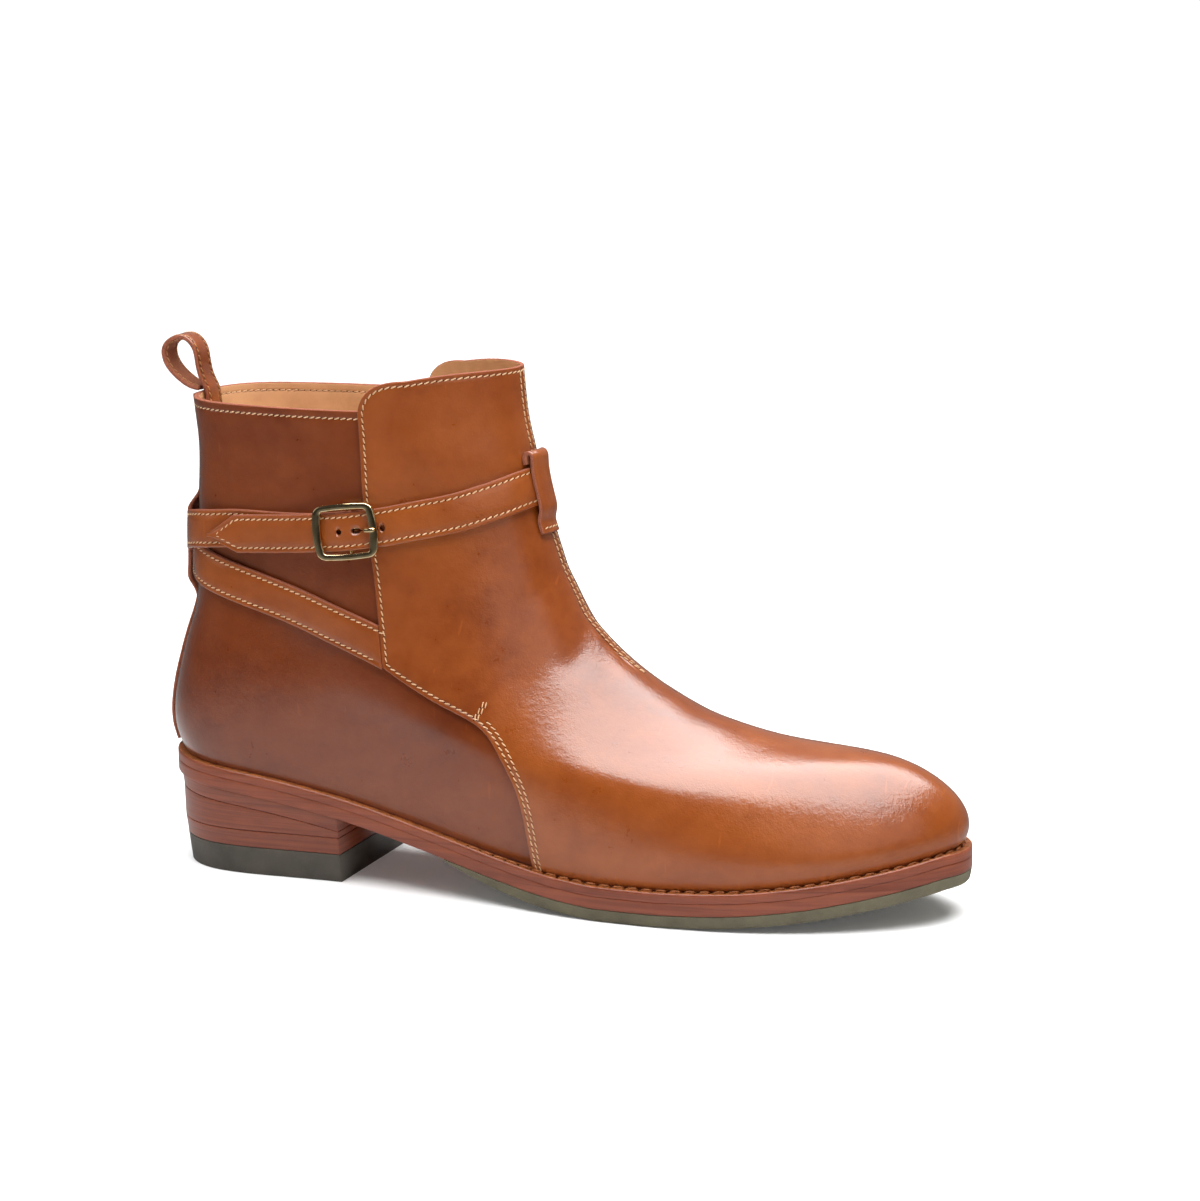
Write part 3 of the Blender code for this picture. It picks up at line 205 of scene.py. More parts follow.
# Creases: angle and ring of each end of a soft trough, half width, and depth (a ridge if negative)
CREASES = (
    (150.0, 6.2, 176.0, 6.9, 0.0050, 0.00045), (210.0, 6.2, 184.0, 6.9, 0.0050, 0.00045),
    (146.0, 7.1, 172.0, 7.5, 0.0045, 0.00035), (214.0, 7.1, 188.0, 7.5, 0.0045, 0.00035),
    (128.0, 5.9, 150.0, 6.3, 0.0080, 0.00040), (232.0, 5.9, 210.0, 6.3, 0.0080, 0.00040),
    (112.0, 8.3, 150.0, 8.6, 0.0060, 0.00030), (248.0, 8.3, 210.0, 8.6, 0.0060, 0.00030),
    (60.0, 5.0, 84.0, 5.6, 0.0090, 0.00035), (300.0, 5.0, 276.0, 5.6, 0.0090, 0.00035),
    (148.0, 4.4, 172.0, 5.1, 0.0070, 0.00030), (212.0, 4.4, 188.0, 5.1, 0.0070, 0.00030),
    (120.0, 9.3, 140.0, 9.9, 0.0100, -0.0004), (240.0, 9.3, 220.0, 9.9, 0.0100, -0.0004),
)

# Finish: sizes that only the dressed pieces have. TOP_ROW is the ring where the even rows of the quarters
# end and COLLAR_BAND the height above them that closer rows fill, QUARTER_DEPTH how far the quarters are
# deepened, partly their own deeper tone and partly painted shade, LINING_SPLIT where quarter and lining
# meet inside the wall, FRONT_SEAM_TOP a share of SHAFT_RISE, KEEPER_EASE the number of times that the
# keeper's bends are eased and KEEPER_TRIM a share of its width.
TOP_ROW = 9.4
COLLAR_BAND = 0.0120
QUARTER_DEPTH = 0.66
LINING_SPLIT = -0.0012
LINING_GAP = 0.00002
GROOVE_WIDTH = 0.0004
WELT_THREAD = 0.00105
THREAD_LIFT = 0.00010
SUNK_LIFT = 0.00012
COLLAR_SEAM_END = 118.0
FRONT_SEAM_FOOT = 0.0785
FRONT_SEAM_TOP = 1.095
FRONT_GROOVE_DEPTH = 0.0004
FRONT_GROOVE_WIDTH = 0.0006
KEEPER_EASE = 14
KEEPER_TRIM = 0.86

# Steps along the vamp's border: the seam, the wing's free edge and its top
SEAM_STEPS = 90
FREE_STEPS = 80
TOP_STEPS = 84
RISE_STEPS = SEAM_STEPS + FREE_STEPS - 1

# Tack at the wing's lower corner: angle and height of its ends, and how far it lies inside the edge
TACK_ENDS = ((98.0, 0.0678), (106.0, 0.0741))
TACK_SHIFT = 0.0052

# Second row of the vamp's seam: it runs below this height, in front of this x, this far from the first
SECOND_ROW_TOP = 0.0680
SECOND_ROW_BACK = 0.09
SECOND_ROW_GAP = 0.0018

# Holes in the straps. Places and the prong hole's reach are shares of half the buckle's length, the rest
# are lengths.
HOLE_PLACES = (-0.22, 1.12)
PRONG_HOLE_PLACE = 0.34
PRONG_HOLE_REACH = 0.16
PUNCH_LEVELS = (-0.004, 0.012)
SLOT_LEVELS = (-0.0040, 0.0100)
SLOT_BACK = 0.0030
SLOT_FRONT = 0.0060
SLOT_WIDTH = 0.0022

LOOKS = "jodhpur_boot"
FLOOR_REACH = 30.0
PHOTO_SIZE = (1200, 1201)
CAMERA_TARGET = (0.1291, 0.0, 0.10656)
FOCAL_PIXELS = 3668.6
SENSOR_WIDTH = 36.0

# Lights: place, point that they face, width, height, then the stage's power that they take and its factor
SOFTBOXES = (
    ("overhead_softbox", (0.22, 0.02, 1.20), (0.22, 0.02, 0.0), 1.5, 1.7, "softbox_power", 1.0),
    ("side_softbox", (-1.7, -0.9, 1.0), (0.10, 0.0, 0.08), 1.5, 1.3, "fill_power", 1.0),
    ("fill_softbox", (1.7, -1.7, 1.2), (0.12, 0.0, 0.08), 2.0, 1.5, "fill_power", 1.5),
)


class BootSizes(bpy.types.PropertyGroup):
    """Sizes of the boot's finish that a maker would set."""

    stitch_pitch: FloatProperty(
        name="Stitch length", description="Distance from hole to hole of the seams", default=0.0024,
        min=0.001, max=0.005, unit="LENGTH", precision=4)
    thread_width: FloatProperty(
        name="Thread", description="Width of the thread in the seams", default=0.00048, min=0.0002,
        max=0.001, unit="LENGTH", precision=5)
    welt_pitch: FloatProperty(
        name="Welt stitch length", description="Distance from hole to hole on the welt", default=0.0053,
        min=0.002, max=0.008, unit="LENGTH", precision=4)
    edge_round: FloatProperty(
        name="Edge rounding", description="How far a cut leather edge bulges", default=0.00035, min=0.0,
        max=0.0006, unit="LENGTH", precision=5)
    stitch_groove: FloatProperty(
        name="Stitch groove", description="Depth to which a seam pulls the leather in", default=0.00022,
        min=0.0, max=0.0005, unit="LENGTH", precision=5)
    seam_inset: FloatProperty(
        name="Seam inset", description="Distance of the seams from the leather's edge", default=0.0018,
        min=0.001, max=0.004, unit="LENGTH", precision=4)
    collar_inset: FloatProperty(
        name="Collar seam", description="Distance of the seam below the collar", default=0.0030,
        min=0.0015, max=0.006, unit="LENGTH", precision=4)


class BootColours(bpy.types.PropertyGroup):
    """Colours of the boot's finish."""

    leather: FloatVectorProperty(
        name="Leather", description="Main tone of the waxed upper leather",
        default=(0.235, 0.055, 0.0078), size=3, subtype="COLOR", min=0.0, max=1.0)
    lining: FloatVectorProperty(
        name="Lining", description="Undyed lining and insole leather", default=(0.66, 0.36, 0.175),
        size=3, subtype="COLOR", min=0.0, max=1.0)
    raw_edge: FloatVectorProperty(
        name="Raw edge", description="Cut edges of the leather", default=(0.26, 0.078, 0.040), size=3,
        subtype="COLOR", min=0.0, max=1.0)
    thread: FloatVectorProperty(
        name="Thread", description="Waxed thread of the seams", default=(0.66, 0.42, 0.235), size=3,
        subtype="COLOR", min=0.0, max=1.0)
    sole_edge: FloatVectorProperty(
        name="Sole edge", description="Waxed edges of sole and heel leather",
        default=(0.190, 0.041, 0.0155), size=3, subtype="COLOR", min=0.0, max=1.0)
    half_sole: FloatVectorProperty(
        name="Half sole", description="Olive rubber of the half sole", default=(0.120, 0.105, 0.065),
        size=3, subtype="COLOR", min=0.0, max=1.0)
    top_piece: FloatVectorProperty(
        name="Top piece", description="Dark rubber of the heel's top piece",
        default=(0.070, 0.060, 0.047), size=3, subtype="COLOR", min=0.0, max=1.0)
    brass: FloatVectorProperty(
        name="Brass", description="Polished buckle metal", default=(0.88, 0.71, 0.42), size=3,
        subtype="COLOR", min=0.0, max=1.0)


class BootStage(bpy.types.PropertyGroup):
    """Camera and light round the boot."""

    camera_azimuth: FloatProperty(
        name="Camera azimuth", description="Turn of the camera round the boot",
        default=math.radians(21.19), subtype="ANGLE")
    camera_elevation: FloatProperty(
        name="Camera elevation", description="Height angle of the camera", default=math.radians(11.96),
        subtype="ANGLE")
    camera_roll: FloatProperty(
        name="Camera roll", description="Turn of the picture", subtype="ANGLE",
        default=math.radians(-0.63))
    camera_distance: FloatProperty(
        name="Camera distance", description="From the camera to the boot's middle", default=1.32098,
        min=0.3, max=10.0, unit="LENGTH")
    softbox_power: FloatProperty(
        name="Softbox", description="Power of the large light above, in watts", default=54.0, min=0.0,
        max=500.0)
    fill_power: FloatProperty(
        name="Fill", description="Power of the light beside the camera, in watts", default=4.0, min=0.0,
        max=500.0)


# The last and its surface


def spline_weights(count, places, closed):
    """Weights of count evenly spaced knots in a cubic spline at the given places (0 is the first knot)."""
    rows = np.zeros((count, count))
    bends = np.zeros((count, count))
    for i in range(count):
        if not closed and i in (0, count - 1):
            rows[i, i] = 1.0
            continue
        before, after = (i - 1) % count, (i + 1) % count
        rows[i, [before, i, after]] = 1.0, 4.0, 1.0
        bends[i, [before, i, after]] = 6.0, -12.0, 6.0
    bends = np.linalg.solve(rows, bends)
    places = np.asarray(places, float)
    if closed:
        places = places % count
    start = np.clip(np.floor(places).astype(int), 0, count - 1 if closed else count - 2)
    part = (places - start)[..., None]
    end = (start + 1) % count
    knots = np.eye(count)
    return ((1 - part) * knots[start] + part * knots[end]
            + ((1 - part) ** 3 - (1 - part)) * bends[start] / 6
            + (part ** 3 - part) * bends[end] / 6)


def smooth(rows, at, column=1):
    """Monotone cubic through the rows of a table, read at the first column's values."""
    x = np.array([row[0] for row in rows], float)
    y = np.array([row[column] for row in rows], float)
    at = np.clip(np.asarray(at, float), x[0], x[-1])
    slope = np.diff(y) / np.diff(x)
    tangent = np.zeros(len(x))
    for i in range(1, len(x) - 1):
        if slope[i - 1] * slope[i] > 0:
            tangent[i] = 2 * slope[i - 1] * slope[i] / (slope[i - 1] + slope[i])
    tangent[0], tangent[-1] = slope[0], slope[-1]
    i = np.clip(np.searchsorted(x, at, side="right") - 1, 0, len(x) - 2)
    width = x[i + 1] - x[i]
    t = (at - x[i]) / width
    return ((1 + 2 * t) * (1 - t) ** 2 * y[i] + t * (1 - t) ** 2 * width * tangent[i]
            + t * t * (3 - 2 * t) * y[i + 1] + t * t * (t - 1) * width * tangent[i + 1])


def rounded_path(points, steps):
    """Natural cubic through the points of an outline."""
    places = np.linspace(0, len(points) - 1, (len(points) - 1) * steps + 1)
    return spline_weights(len(points), places, False) @ np.array(points, float)


def forefoot_height():
    """Height of the feather line over the flat tread: the sole's layers on each other."""
    return WELT_THICKNESS + OUTSOLE_THICKNESS + HALF_SOLE_THICKNESS + SOLE_CLEARANCE + CLEARANCE


def seat_height(x):
    """Height of the welt's top face at x."""
    share = (np.asarray(x, float) + HEEL_LENGTH / 2) / LAST_LENGTH
    base = forefoot_height()
    rear = smooth(SEAT_LINE, share) * (HEEL_SEAT_HEIGHT - base)
    front = smooth(SPRING_LINE, share) * TOE_SPRING
    rear, front = np.where(share < SEAT_LINE[-1][0], rear, 0), np.where(share > SPRING_LINE[0][0], front, 0)
    return base + rear + front


def unit(rows):
    """Directions brought to length 1."""
    return rows / np.linalg.norm(rows, axis=-1, keepdims=True)


def reach_along(points):
    """Distance of each point of a line from its start."""
    return np.concatenate([[0.0], np.cumsum(np.linalg.norm(np.diff(points, axis=0), axis=1))])


def ring_share(angle):
    """Share of the way from a ring's back to its front at an angle round it."""
    return (1 - np.cos(np.radians(angle))) / 2


def ring_values(ring):
    """Heights and ends of the last's rings: the table read at any ring number."""
    table = spline_weights(len(RINGS), ring, False) @ np.array(RINGS)
    named = {name: table[..., i] for i, name in enumerate(RING_COLUMNS)}
    toe_z = forefoot_height() + TOE_SPRING
    named["back_x"] = named["back_x"] * LAST_LENGTH - HEEL_LENGTH / 2
    named["front_x"] = named["front_x"] * LAST_LENGTH - HEEL_LENGTH / 2
    named["back_z"] = HEEL_SEAT_HEIGHT + named["back_z"] * SHAFT_RISE
    named["front_z"] = toe_z + named["front_z"] * FRONT_RISE
    return named


def side_point(share, named):
    """Side view (x, z) of a ring at a share of the way from its back to its front."""
    x = named["back_x"] + (named["front_x"] - named["back_x"]) * share
    toe_z = forefoot_height() + TOE_SPRING
    straight = HEEL_SEAT_HEIGHT + (toe_z - HEEL_SEAT_HEIGHT) * share
    curve = seat_height(share * LAST_LENGTH - HEEL_LENGTH / 2) - straight
    z = named["back_z"] + (named["front_z"] - named["back_z"]) * share + named["sag"] * curve
    return x, z


def collar_height(angles):
    """Height of the collar at these angles."""
    return side_point(ring_share(angles), ring_values(np.full(len(angles), float(COLLAR_RING))))[1]


def last_point(angle, ring):
    """Point of the upper's outer face: angle in degrees round the ring from the heel by the outer side."""
    angle, ring = np.broadcast_arrays(np.asarray(angle, float), np.asarray(ring, float))
    named = ring_values(ring)
    x, z = side_point(ring_share(angle), named)
    zero = np.zeros_like(named["tip"])
    breadths = np.stack(
        [zero] + [-named[f"l{a}"] for a in (30, 60, 90, 120, 150)] + [named["tip"]]
        + [named[f"m{a}"] for a in (150, 120, 90, 60, 30)], axis=-1) * BALL_BREADTH
    y = (spline_weights(12, angle / 30.0, True) * breadths).sum(-1)
    return np.stack([x, y, z], axis=-1)


def last_normal(angle, ring):
    """Outward normal of the upper's outer face, level at the feather line."""
    step = 1e-3
    angle = np.asarray(angle)
    along = last_point(angle + step * 30, ring) - last_point(angle - step * 30, ring)
    low, high = (np.clip(np.asarray(ring) + move, 0, TOP_RING) for move in (-step, step))
    up = last_point(angle, high) - last_point(angle, low)
    normal = np.cross(along, up)
    normal[..., 2] *= np.clip(np.asarray(ring, float), 0, 1)
    return unit(normal)


def crease_depth(points):
    """How deep the creases press the leather in at these points."""
    depth = np.zeros(points.shape[:-1])
    for angle_a, ring_a, angle_b, ring_b, width, deep in CREASES:
        start, end = last_point(angle_a, ring_a), last_point(angle_b, ring_b)
        run = end - start
        share = np.clip(((points - start) @ run) / (run @ run), 0, 1)
        away = np.linalg.norm(points - (start + share[..., None] * run), axis=-1)
        depth += deep * np.exp(-(away / width) ** 2)
    return depth


def skin(angle, ring, lift):
    """Point at the given lift outside (or, if negative, inside) the creased upper's outer face."""
    angle, ring, lift = np.broadcast_arrays(np.asarray(angle, float), np.asarray(ring, float), lift)
    points = last_point(angle, ring)
    return points + last_normal(angle, ring) * (lift - crease_depth(points))[..., None]


def ring_at(angle, height):
    """Ring number where the upper reaches the given height at this angle."""
    angle, height = np.broadcast_arrays(np.asarray(angle, float), np.asarray(height, float))
    low, high = np.zeros(angle.shape), np.full(angle.shape, float(TOP_RING))
    share = ring_share(angle)
    for _ in range(26):
        middle = (low + high) / 2
        above = side_point(share, ring_values(middle))[1] > height
        low, high = np.where(above, low, middle), np.where(above, middle, high)
    return (low + high) / 2


def at_height(angle, height, lift):
    """Point on the shaft by angle and height, at a lift from its outer face."""
    return skin(angle, ring_at(angle, height), lift)


def angle_from_y(y, height, middle):
    """Angle near the heel (middle 0) or the front (middle 180) at which the upper has this y."""
    y, height = np.broadcast_arrays(np.asarray(y, float), np.asarray(height, float))
    ring = ring_at(np.full(y.shape, float(middle)), height)
    low, high = np.full(y.shape, middle - 70.0), np.full(y.shape, middle + 70.0)
    rising = middle > 90
    for _ in range(26):
        halfway = (low + high) / 2
        above = (last_point(halfway, ring)[..., 1] > y) == rising
        low, high = np.where(above, low, halfway), np.where(above, halfway, high)
    return (low + high) / 2


def on_side_view(x, z):
    """Angle on the outer side (0 to 180) and ring of the point with this side view."""
    x, z = np.asarray(x, float), np.asarray(z, float)
    low, high = np.zeros(x.shape), np.full(x.shape, float(TOP_RING))
    for _ in range(30):
        ring = (low + high) / 2
        named = ring_values(ring)
        share = np.clip((x - named["back_x"]) / (named["front_x"] - named["back_x"]), 0, 1)
        above = side_point(share, named)[1] > z
        low, high = np.where(above, low, ring), np.where(above, ring, high)
    return np.degrees(np.arccos(1 - 2 * share)), (low + high) / 2


def walk(angle, ring, move):
    """Angle and ring of the points reached by short moves along the last."""
    target = last_point(angle, ring) + move
    angle, ring = np.array(angle, float), np.array(ring, float)
    for _ in range(4):
        here = last_point(angle, ring)
        side = (last_point(angle + 0.05, ring) - last_point(angle - 0.05, ring)) / 0.1
        low, high = np.clip(ring - 0.01, 0, TOP_RING), np.clip(ring + 0.01, 0, TOP_RING)
        up = (last_point(angle, high) - last_point(angle, low)) / (high - low)[..., None]
        gap = target - here
        a, b, c = (side * side).sum(-1), (side * up).sum(-1), (up * up).sum(-1)
        d, e = (side * gap).sum(-1), (up * gap).sum(-1)
        angle = angle + (d * c - e * b) / (a * c - b * b)
        ring = np.clip(ring + (e * a - d * b) / (a * c - b * b), 0, TOP_RING)
    return angle, ring


def shaft_height(share):
    """Height at a share of the shaft's rise above the heel seat."""
    return HEEL_SEAT_HEIGHT + np.asarray(share, float) * SHAFT_RISE


# Meshes


def looks_collection():
    """Collection of the dressed pieces, made if it's missing."""
    group = bpy.data.collections.get(LOOKS)
    if group is None:
        group = bpy.data.collections.new(LOOKS)
        bpy.context.scene.collection.children.link(group)
    return group


def make_mesh(name, points, faces, finish_of_face=None, sharp_angle=None):
    """Mesh from points and faces, shaded smooth but at sharp angles."""
    mesh = bpy.data.meshes.new(name)
    mesh.from_pydata(np.asarray(points, float).reshape(-1, 3).tolist(), [],
                     faces.tolist() if isinstance(faces, np.ndarray) else faces)
    if finish_of_face is not None:
        mesh.polygons.foreach_set("material_index", np.asarray(finish_of_face, np.int32))
    mesh.shade_smooth()
    if sharp_angle:
        mesh.set_sharp_from_angle(angle=math.radians(sharp_angle))
    mesh.update()
    return mesh


def add_piece(name, mesh, finishes, nodes=()):
    """Puts a piece on the boot with its finishes, the slot that it follows and the solids it stands for."""
    piece = bpy.data.objects.new(name, mesh)
    looks_collection().objects.link(piece)
    for finish in finishes:
        mesh.materials.append(finish)
    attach(piece, "root")
    if nodes:
        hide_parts(*nodes)
    return piece


def grid_faces(rows, columns, wrap=False, ring=False):
    """Quads of a grid of points, row by row; wrap joins each row's end to its start, ring the last row to
    the first."""
    i, j = np.meshgrid(np.arange(rows if ring else rows - 1), np.arange(columns if wrap else columns - 1),
                       indexing="ij")
    n, k = (i + 1) % rows, (j + 1) % columns
    faces = np.stack([i * columns + j, i * columns + k, n * columns + k, n * columns + j], axis=-1)
    return faces.reshape(-1, 4)


def weld(params, faces):
    """Joins points of equal angle and ring."""
    _, first, back = np.unique(np.round(params, 6), axis=0, return_index=True, return_inverse=True)
    return first, back.reshape(-1)[faces]


def leather_sheet(name, params, faces, outer, inner, bulge):
    """Closed sheet of leather on the last. params holds each point's angle and ring, outer and inner the
    lifts of its two faces. The cut edges bulge. Faces take finish 0 outside, 1 on edges, 2 inside."""
    top = skin(params[:, 0], params[:, 1], outer)
    base = skin(params[:, 0], params[:, 1], inner)
    foot = params[:, 1] < 1e-6
    for face in (top, base):
        face[foot, 2] = seat_height(face[foot, 0])
        face[:, 2] += CLEARANCE
    count = len(params)
    a, b = faces.reshape(-1), np.roll(faces, -1, axis=1).reshape(-1)
    free = ~np.isin(a.astype(np.int64) * count + b, b.astype(np.int64) * count + a)
    a, b = a[free], b[free]
    rim = np.unique(np.concatenate([a, b]))
    after, before = np.zeros(count, int), np.zeros(count, int)
    after[a], before[b] = b, a
    run = top[after[rim]] - top[before[rim]]
    half = (top[rim] - base[rim]) / 2
    away = unit(np.cross(run, half))
    rough = np.random.default_rng(7).normal(0.0, 0.05, (3, len(rim))) * bulge
    middle = (top[rim] + base[rim]) / 2
    layers = []
    for turn, r in zip(map(math.radians, (42, 90, 138)), rough):
        layers.append(middle + half * math.cos(turn) + away * (bulge * math.sin(turn) + r)[:, None])
    place = np.zeros(count, int)
    place[rim] = np.arange(len(rim))
    chain = [lambda v: v] + [lambda v, k=k: 2 * count + k * len(rim) + place[v] for k in range(3)]
    chain.append(lambda v: count + v)
    bands = [np.stack([up(b), up(a), down(a), down(b)], axis=1) for up, down in zip(chain, chain[1:])]
    quads = np.concatenate([faces] + bands + [faces[:, ::-1] + count])
    finish = np.concatenate([np.zeros(len(faces)), np.ones(4 * len(a)), np.full(len(faces), 2)])
    return make_mesh(name, np.concatenate([top, base] + layers), quads, finish)


def closed_tube(name, rows, finish_of_face=None, ring=False):
    """Solid through rows of points, each a closed loop, capped at both ends or closed in a ring."""
    rows = np.asarray(rows, float)
    count, columns = rows.shape[:2]
    if ring:
        return make_mesh(name, rows, grid_faces(count, columns, True, True), finish_of_face)
    faces = grid_faces(count, columns, True).tolist()
    faces.append(list(range(columns))[::-1])
    faces.append(list(range((count - 1) * columns, count * columns)))
    return make_mesh(name, rows, faces, finish_of_face)


def strip_section(half_width, thickness, round_edge, groove, inset, crown=0.0):
    """Section of a stitched strip: across and out coordinates, from the lower left, and which are edges."""
    top = thickness / 2
    w = half_width
    upper = [(-w + 0.35 * round_edge, top - 0.30 * round_edge), (-w + round_edge, top)]
    for side in (-1, 1):
        line = side * (w - inset)
        upper += [(line - 0.00055, top), (line, top - groove), (line + 0.00055, top)]
        if side < 0:
            upper += [(-w * 0.35, top + crown), (0.0, top + crown), (w * 0.35, top + crown)]
    upper += [(w - round_edge, top), (w - 0.35 * round_edge, top - 0.30 * round_edge)]
    edge = [(w, top - round_edge), (w, -top + round_edge)]
    lower = [(w - 0.35 * round_edge, -top + 0.30 * round_edge), (w - round_edge, -top), (0.0, -top),
             (-w + round_edge, -top), (-w + 0.35 * round_edge, -top + 0.30 * round_edge)]
    return np.array(upper + edge + lower + [(-w, -top + round_edge), (-w, top - round_edge)])


def section_finish(section, thickness):
    """Finish of each of a section's sides: 0 on the grain side, 1 at the edges, 2 on the flesh side."""
    middle = (section + np.roll(section, -1, axis=0)) / 2
    return np.where(middle[:, 1] > thickness * 0.42, 0, np.where(middle[:, 1] < -thickness * 0.42, 2, 1))


def stitches(name, rows, pitch, width, finish, slant=0.30, length=0.88, rise=0.30):
    """One mesh of thread, a short tapered roll from hole to hole along each row of points and normals, and
    one of near-black discs at the holes between them: painted shade of the holes."""
    rings = np.array([(-0.50, 0.42, -0.55), (-0.36, 0.86, 0.10), (0.0, 1.0, rise), (0.36, 0.86, 0.10),
                      (0.50, 0.42, -0.55)])
    turns = np.radians(np.arange(6) * 60.0)
    points, faces, pits, shade_disc_faces = [], [], [], []
    body = grid_faces(5, 6, True).tolist() + [[5, 4, 3, 2, 1, 0], [24, 25, 26, 27, 28, 29]]
    for line, normals in rows:
        reach = reach_along(line)
        count = max(2, int(round(reach[-1] / pitch)))
        marks = np.linspace(0, reach[-1], count + 1)
        places = np.stack([np.interp(marks, reach, line[:, i]) for i in range(3)], axis=1)
        upright = np.stack([np.interp(marks, reach, normals[:, i]) for i in range(3)], axis=1)
        for start, end, n in zip(places, places[1:], upright):
            run = end - start
            size = np.linalg.norm(run)
            u = run / size
            n = n - u * (n @ u)
            n /= np.linalg.norm(n)
            v = np.cross(n, u)
            wide = np.sin(turns)[:, None] * v * width * 0.45
            # Flat near-black disc at each hole: painted shade of the hole
            shade_disc = start + np.cos(turns)[:, None] * u * width * 0.55 + wide
            shade_disc_faces.append(list(range(6 * len(pits), 6 * len(pits) + 6)))
            pits.append(shade_disc - n * width * 0.05)
            u, v = u * math.cos(slant) + v * math.sin(slant), v * math.cos(slant) - u * math.sin(slant)
            middle = (start + end) / 2
            base = len(points) * 30
            ring = (middle + rings[:, None, :1] * size * length * u
                    + (rings[:, None, 1:2] * np.cos(turns)[None, :, None]) * width / 2 * v
                    + (rings[:, None, 2:3] + 0.9 * rings[:, None, 1:2] * np.sin(turns)[None, :, None])
                    * width / 2 * n)
            points.append(ring.reshape(-1, 3))
            faces += [[base + k for k in face] for face in body]
    holes = make_mesh(name + "_hole_shade", np.concatenate(pits), shade_disc_faces)
    add_piece(name + "_hole_shade", holes, [painted_hole_shade()])
    add_piece(name, make_mesh(name, np.concatenate(points), faces), [finish])


# Finishes


def new_finish(name, **sockets):
    """A finish with its Principled shader; numbers that are the same all over are set on the shader."""
    finish = bpy.data.materials.get(name)
    if finish:
        return finish, None, None
    finish = bpy.data.materials.new(name)
    finish.use_nodes = True
    tree = finish.node_tree
    shader = tree.nodes["Principled BSDF"]
    for socket, value in sockets.items():
        shader.inputs[socket.replace("_", " ")].default_value = value
    return finish, tree, shader


def plug(tree, shader, **sockets):
    """Links outputs of nodes to the shader's sockets."""
    for socket, output in sockets.items():
        tree.links.new(output, shader.inputs[socket.replace("_", " ")])


def put(tree, kind, settings=(), **sockets):
    """Adds a node; each socket takes a number, a colour or another node's output."""
    node = tree.nodes.new(kind)
    for key, value in dict(settings).items():
        setattr(node, key, value)
    for key, value in sockets.items():
        numbered = key[0] == "i" and key[1:].isdigit()
        socket = node.inputs[int(key[1:]) if numbered else key.replace("_", " ")]
        if isinstance(value, bpy.types.NodeSocket):
            tree.links.new(value, socket)
        else:
            socket.default_value = value
    return node


def own_coordinates(tree, stretch=(1.0, 1.0, 1.0)):
    """The piece's own coordinates in metres, stretched along its axes."""
    place = tree.nodes.new("ShaderNodeTexCoord")
    return put(tree, "ShaderNodeMapping", Vector=place.outputs["Object"], Scale=stretch).outputs["Vector"]


def noise(tree, where, scale, detail=2.0, rough=0.5, twist=0.0):
    """Clouded noise between 0 and 1."""
    return put(tree, "ShaderNodeTexNoise", Vector=where, Scale=scale, Detail=detail, Roughness=rough,
               Distortion=twist).outputs["Fac"]


def cells(tree, where, scale):
    """Distance to the middle of the nearest cell."""
    return put(tree, "ShaderNodeTexVoronoi", Vector=where, Scale=scale).outputs["Distance"]


def spread(tree, value, low, high, start=0.0, end=1.0):
    """Maps low..high to start..end and stops there."""
    return put(tree, "ShaderNodeMapRange", Value=value, From_Min=low, From_Max=high, To_Min=start,
               To_Max=end).outputs["Result"]


def tones(tree, value, *stops):
    """Colour ramp through (place, colour) stops."""
    node = put(tree, "ShaderNodeValToRGB", Fac=value)
    ramp = node.color_ramp
    while len(ramp.elements) < len(stops):
        ramp.elements.new(0.5)
    for element, (place, colour) in zip(ramp.elements, stops):
        element.position = place
        element.color = (*colour, 1.0)
    return node.outputs["Color"]


def blend(tree, share, first, second):
    """Mixes two colours by a share."""
    node = put(tree, "ShaderNodeMix", {"data_type": "RGBA"}, i0=share)
    for socket, value in ((node.inputs[6], first), (node.inputs[7], second)):
        if isinstance(value, bpy.types.NodeSocket):
            tree.links.new(value, socket)
        else:
            socket.default_value = (*value, 1.0)
    return node.outputs[2]


def maths(tree, operation, first, second):
    """Sum, product or the like of two values."""
    return put(tree, "ShaderNodeMath", {"operation": operation}, i0=first, i1=second).outputs["Value"]


def relief(tree, height, depth, strength=1.0, under=None):
    """Bump of the given depth in metres."""
    node = put(tree, "ShaderNodeBump", Height=height, Distance=depth, Strength=strength)
    if under is not None:
        tree.links.new(under, node.inputs["Normal"])
    return node.outputs["Normal"]


def tinted(colour, red, green=None, blue=None):
    """A colour brightened or deepened."""
    green = red if green is None else green
    blue = red if blue is None else blue
    return tuple(min(1.0, c * f) for c, f in zip(colour, (red, green, blue)))


def colours():
    return bpy.context.scene.boot_colours


def sizes():
    return bpy.context.scene.boot_sizes


def grained(name, base, grain, stops, rough, bump, **sockets):
    """Finish from one noise: its colour between tints of a base, its roughness and its relief."""
    finish, tree, shader = new_finish(name, **sockets)
    if tree is None:
        return finish
    value = noise(tree, own_coordinates(tree), *grain)
    colour = tones(tree, value, *((place, tinted(base, *tint)) for place, tint in stops))
    plug(tree, shader, Base_Color=colour, Roughness=spread(tree, value, 0.3, 0.7, *rough),
         Normal=relief(tree, value, *bump))
    return finish


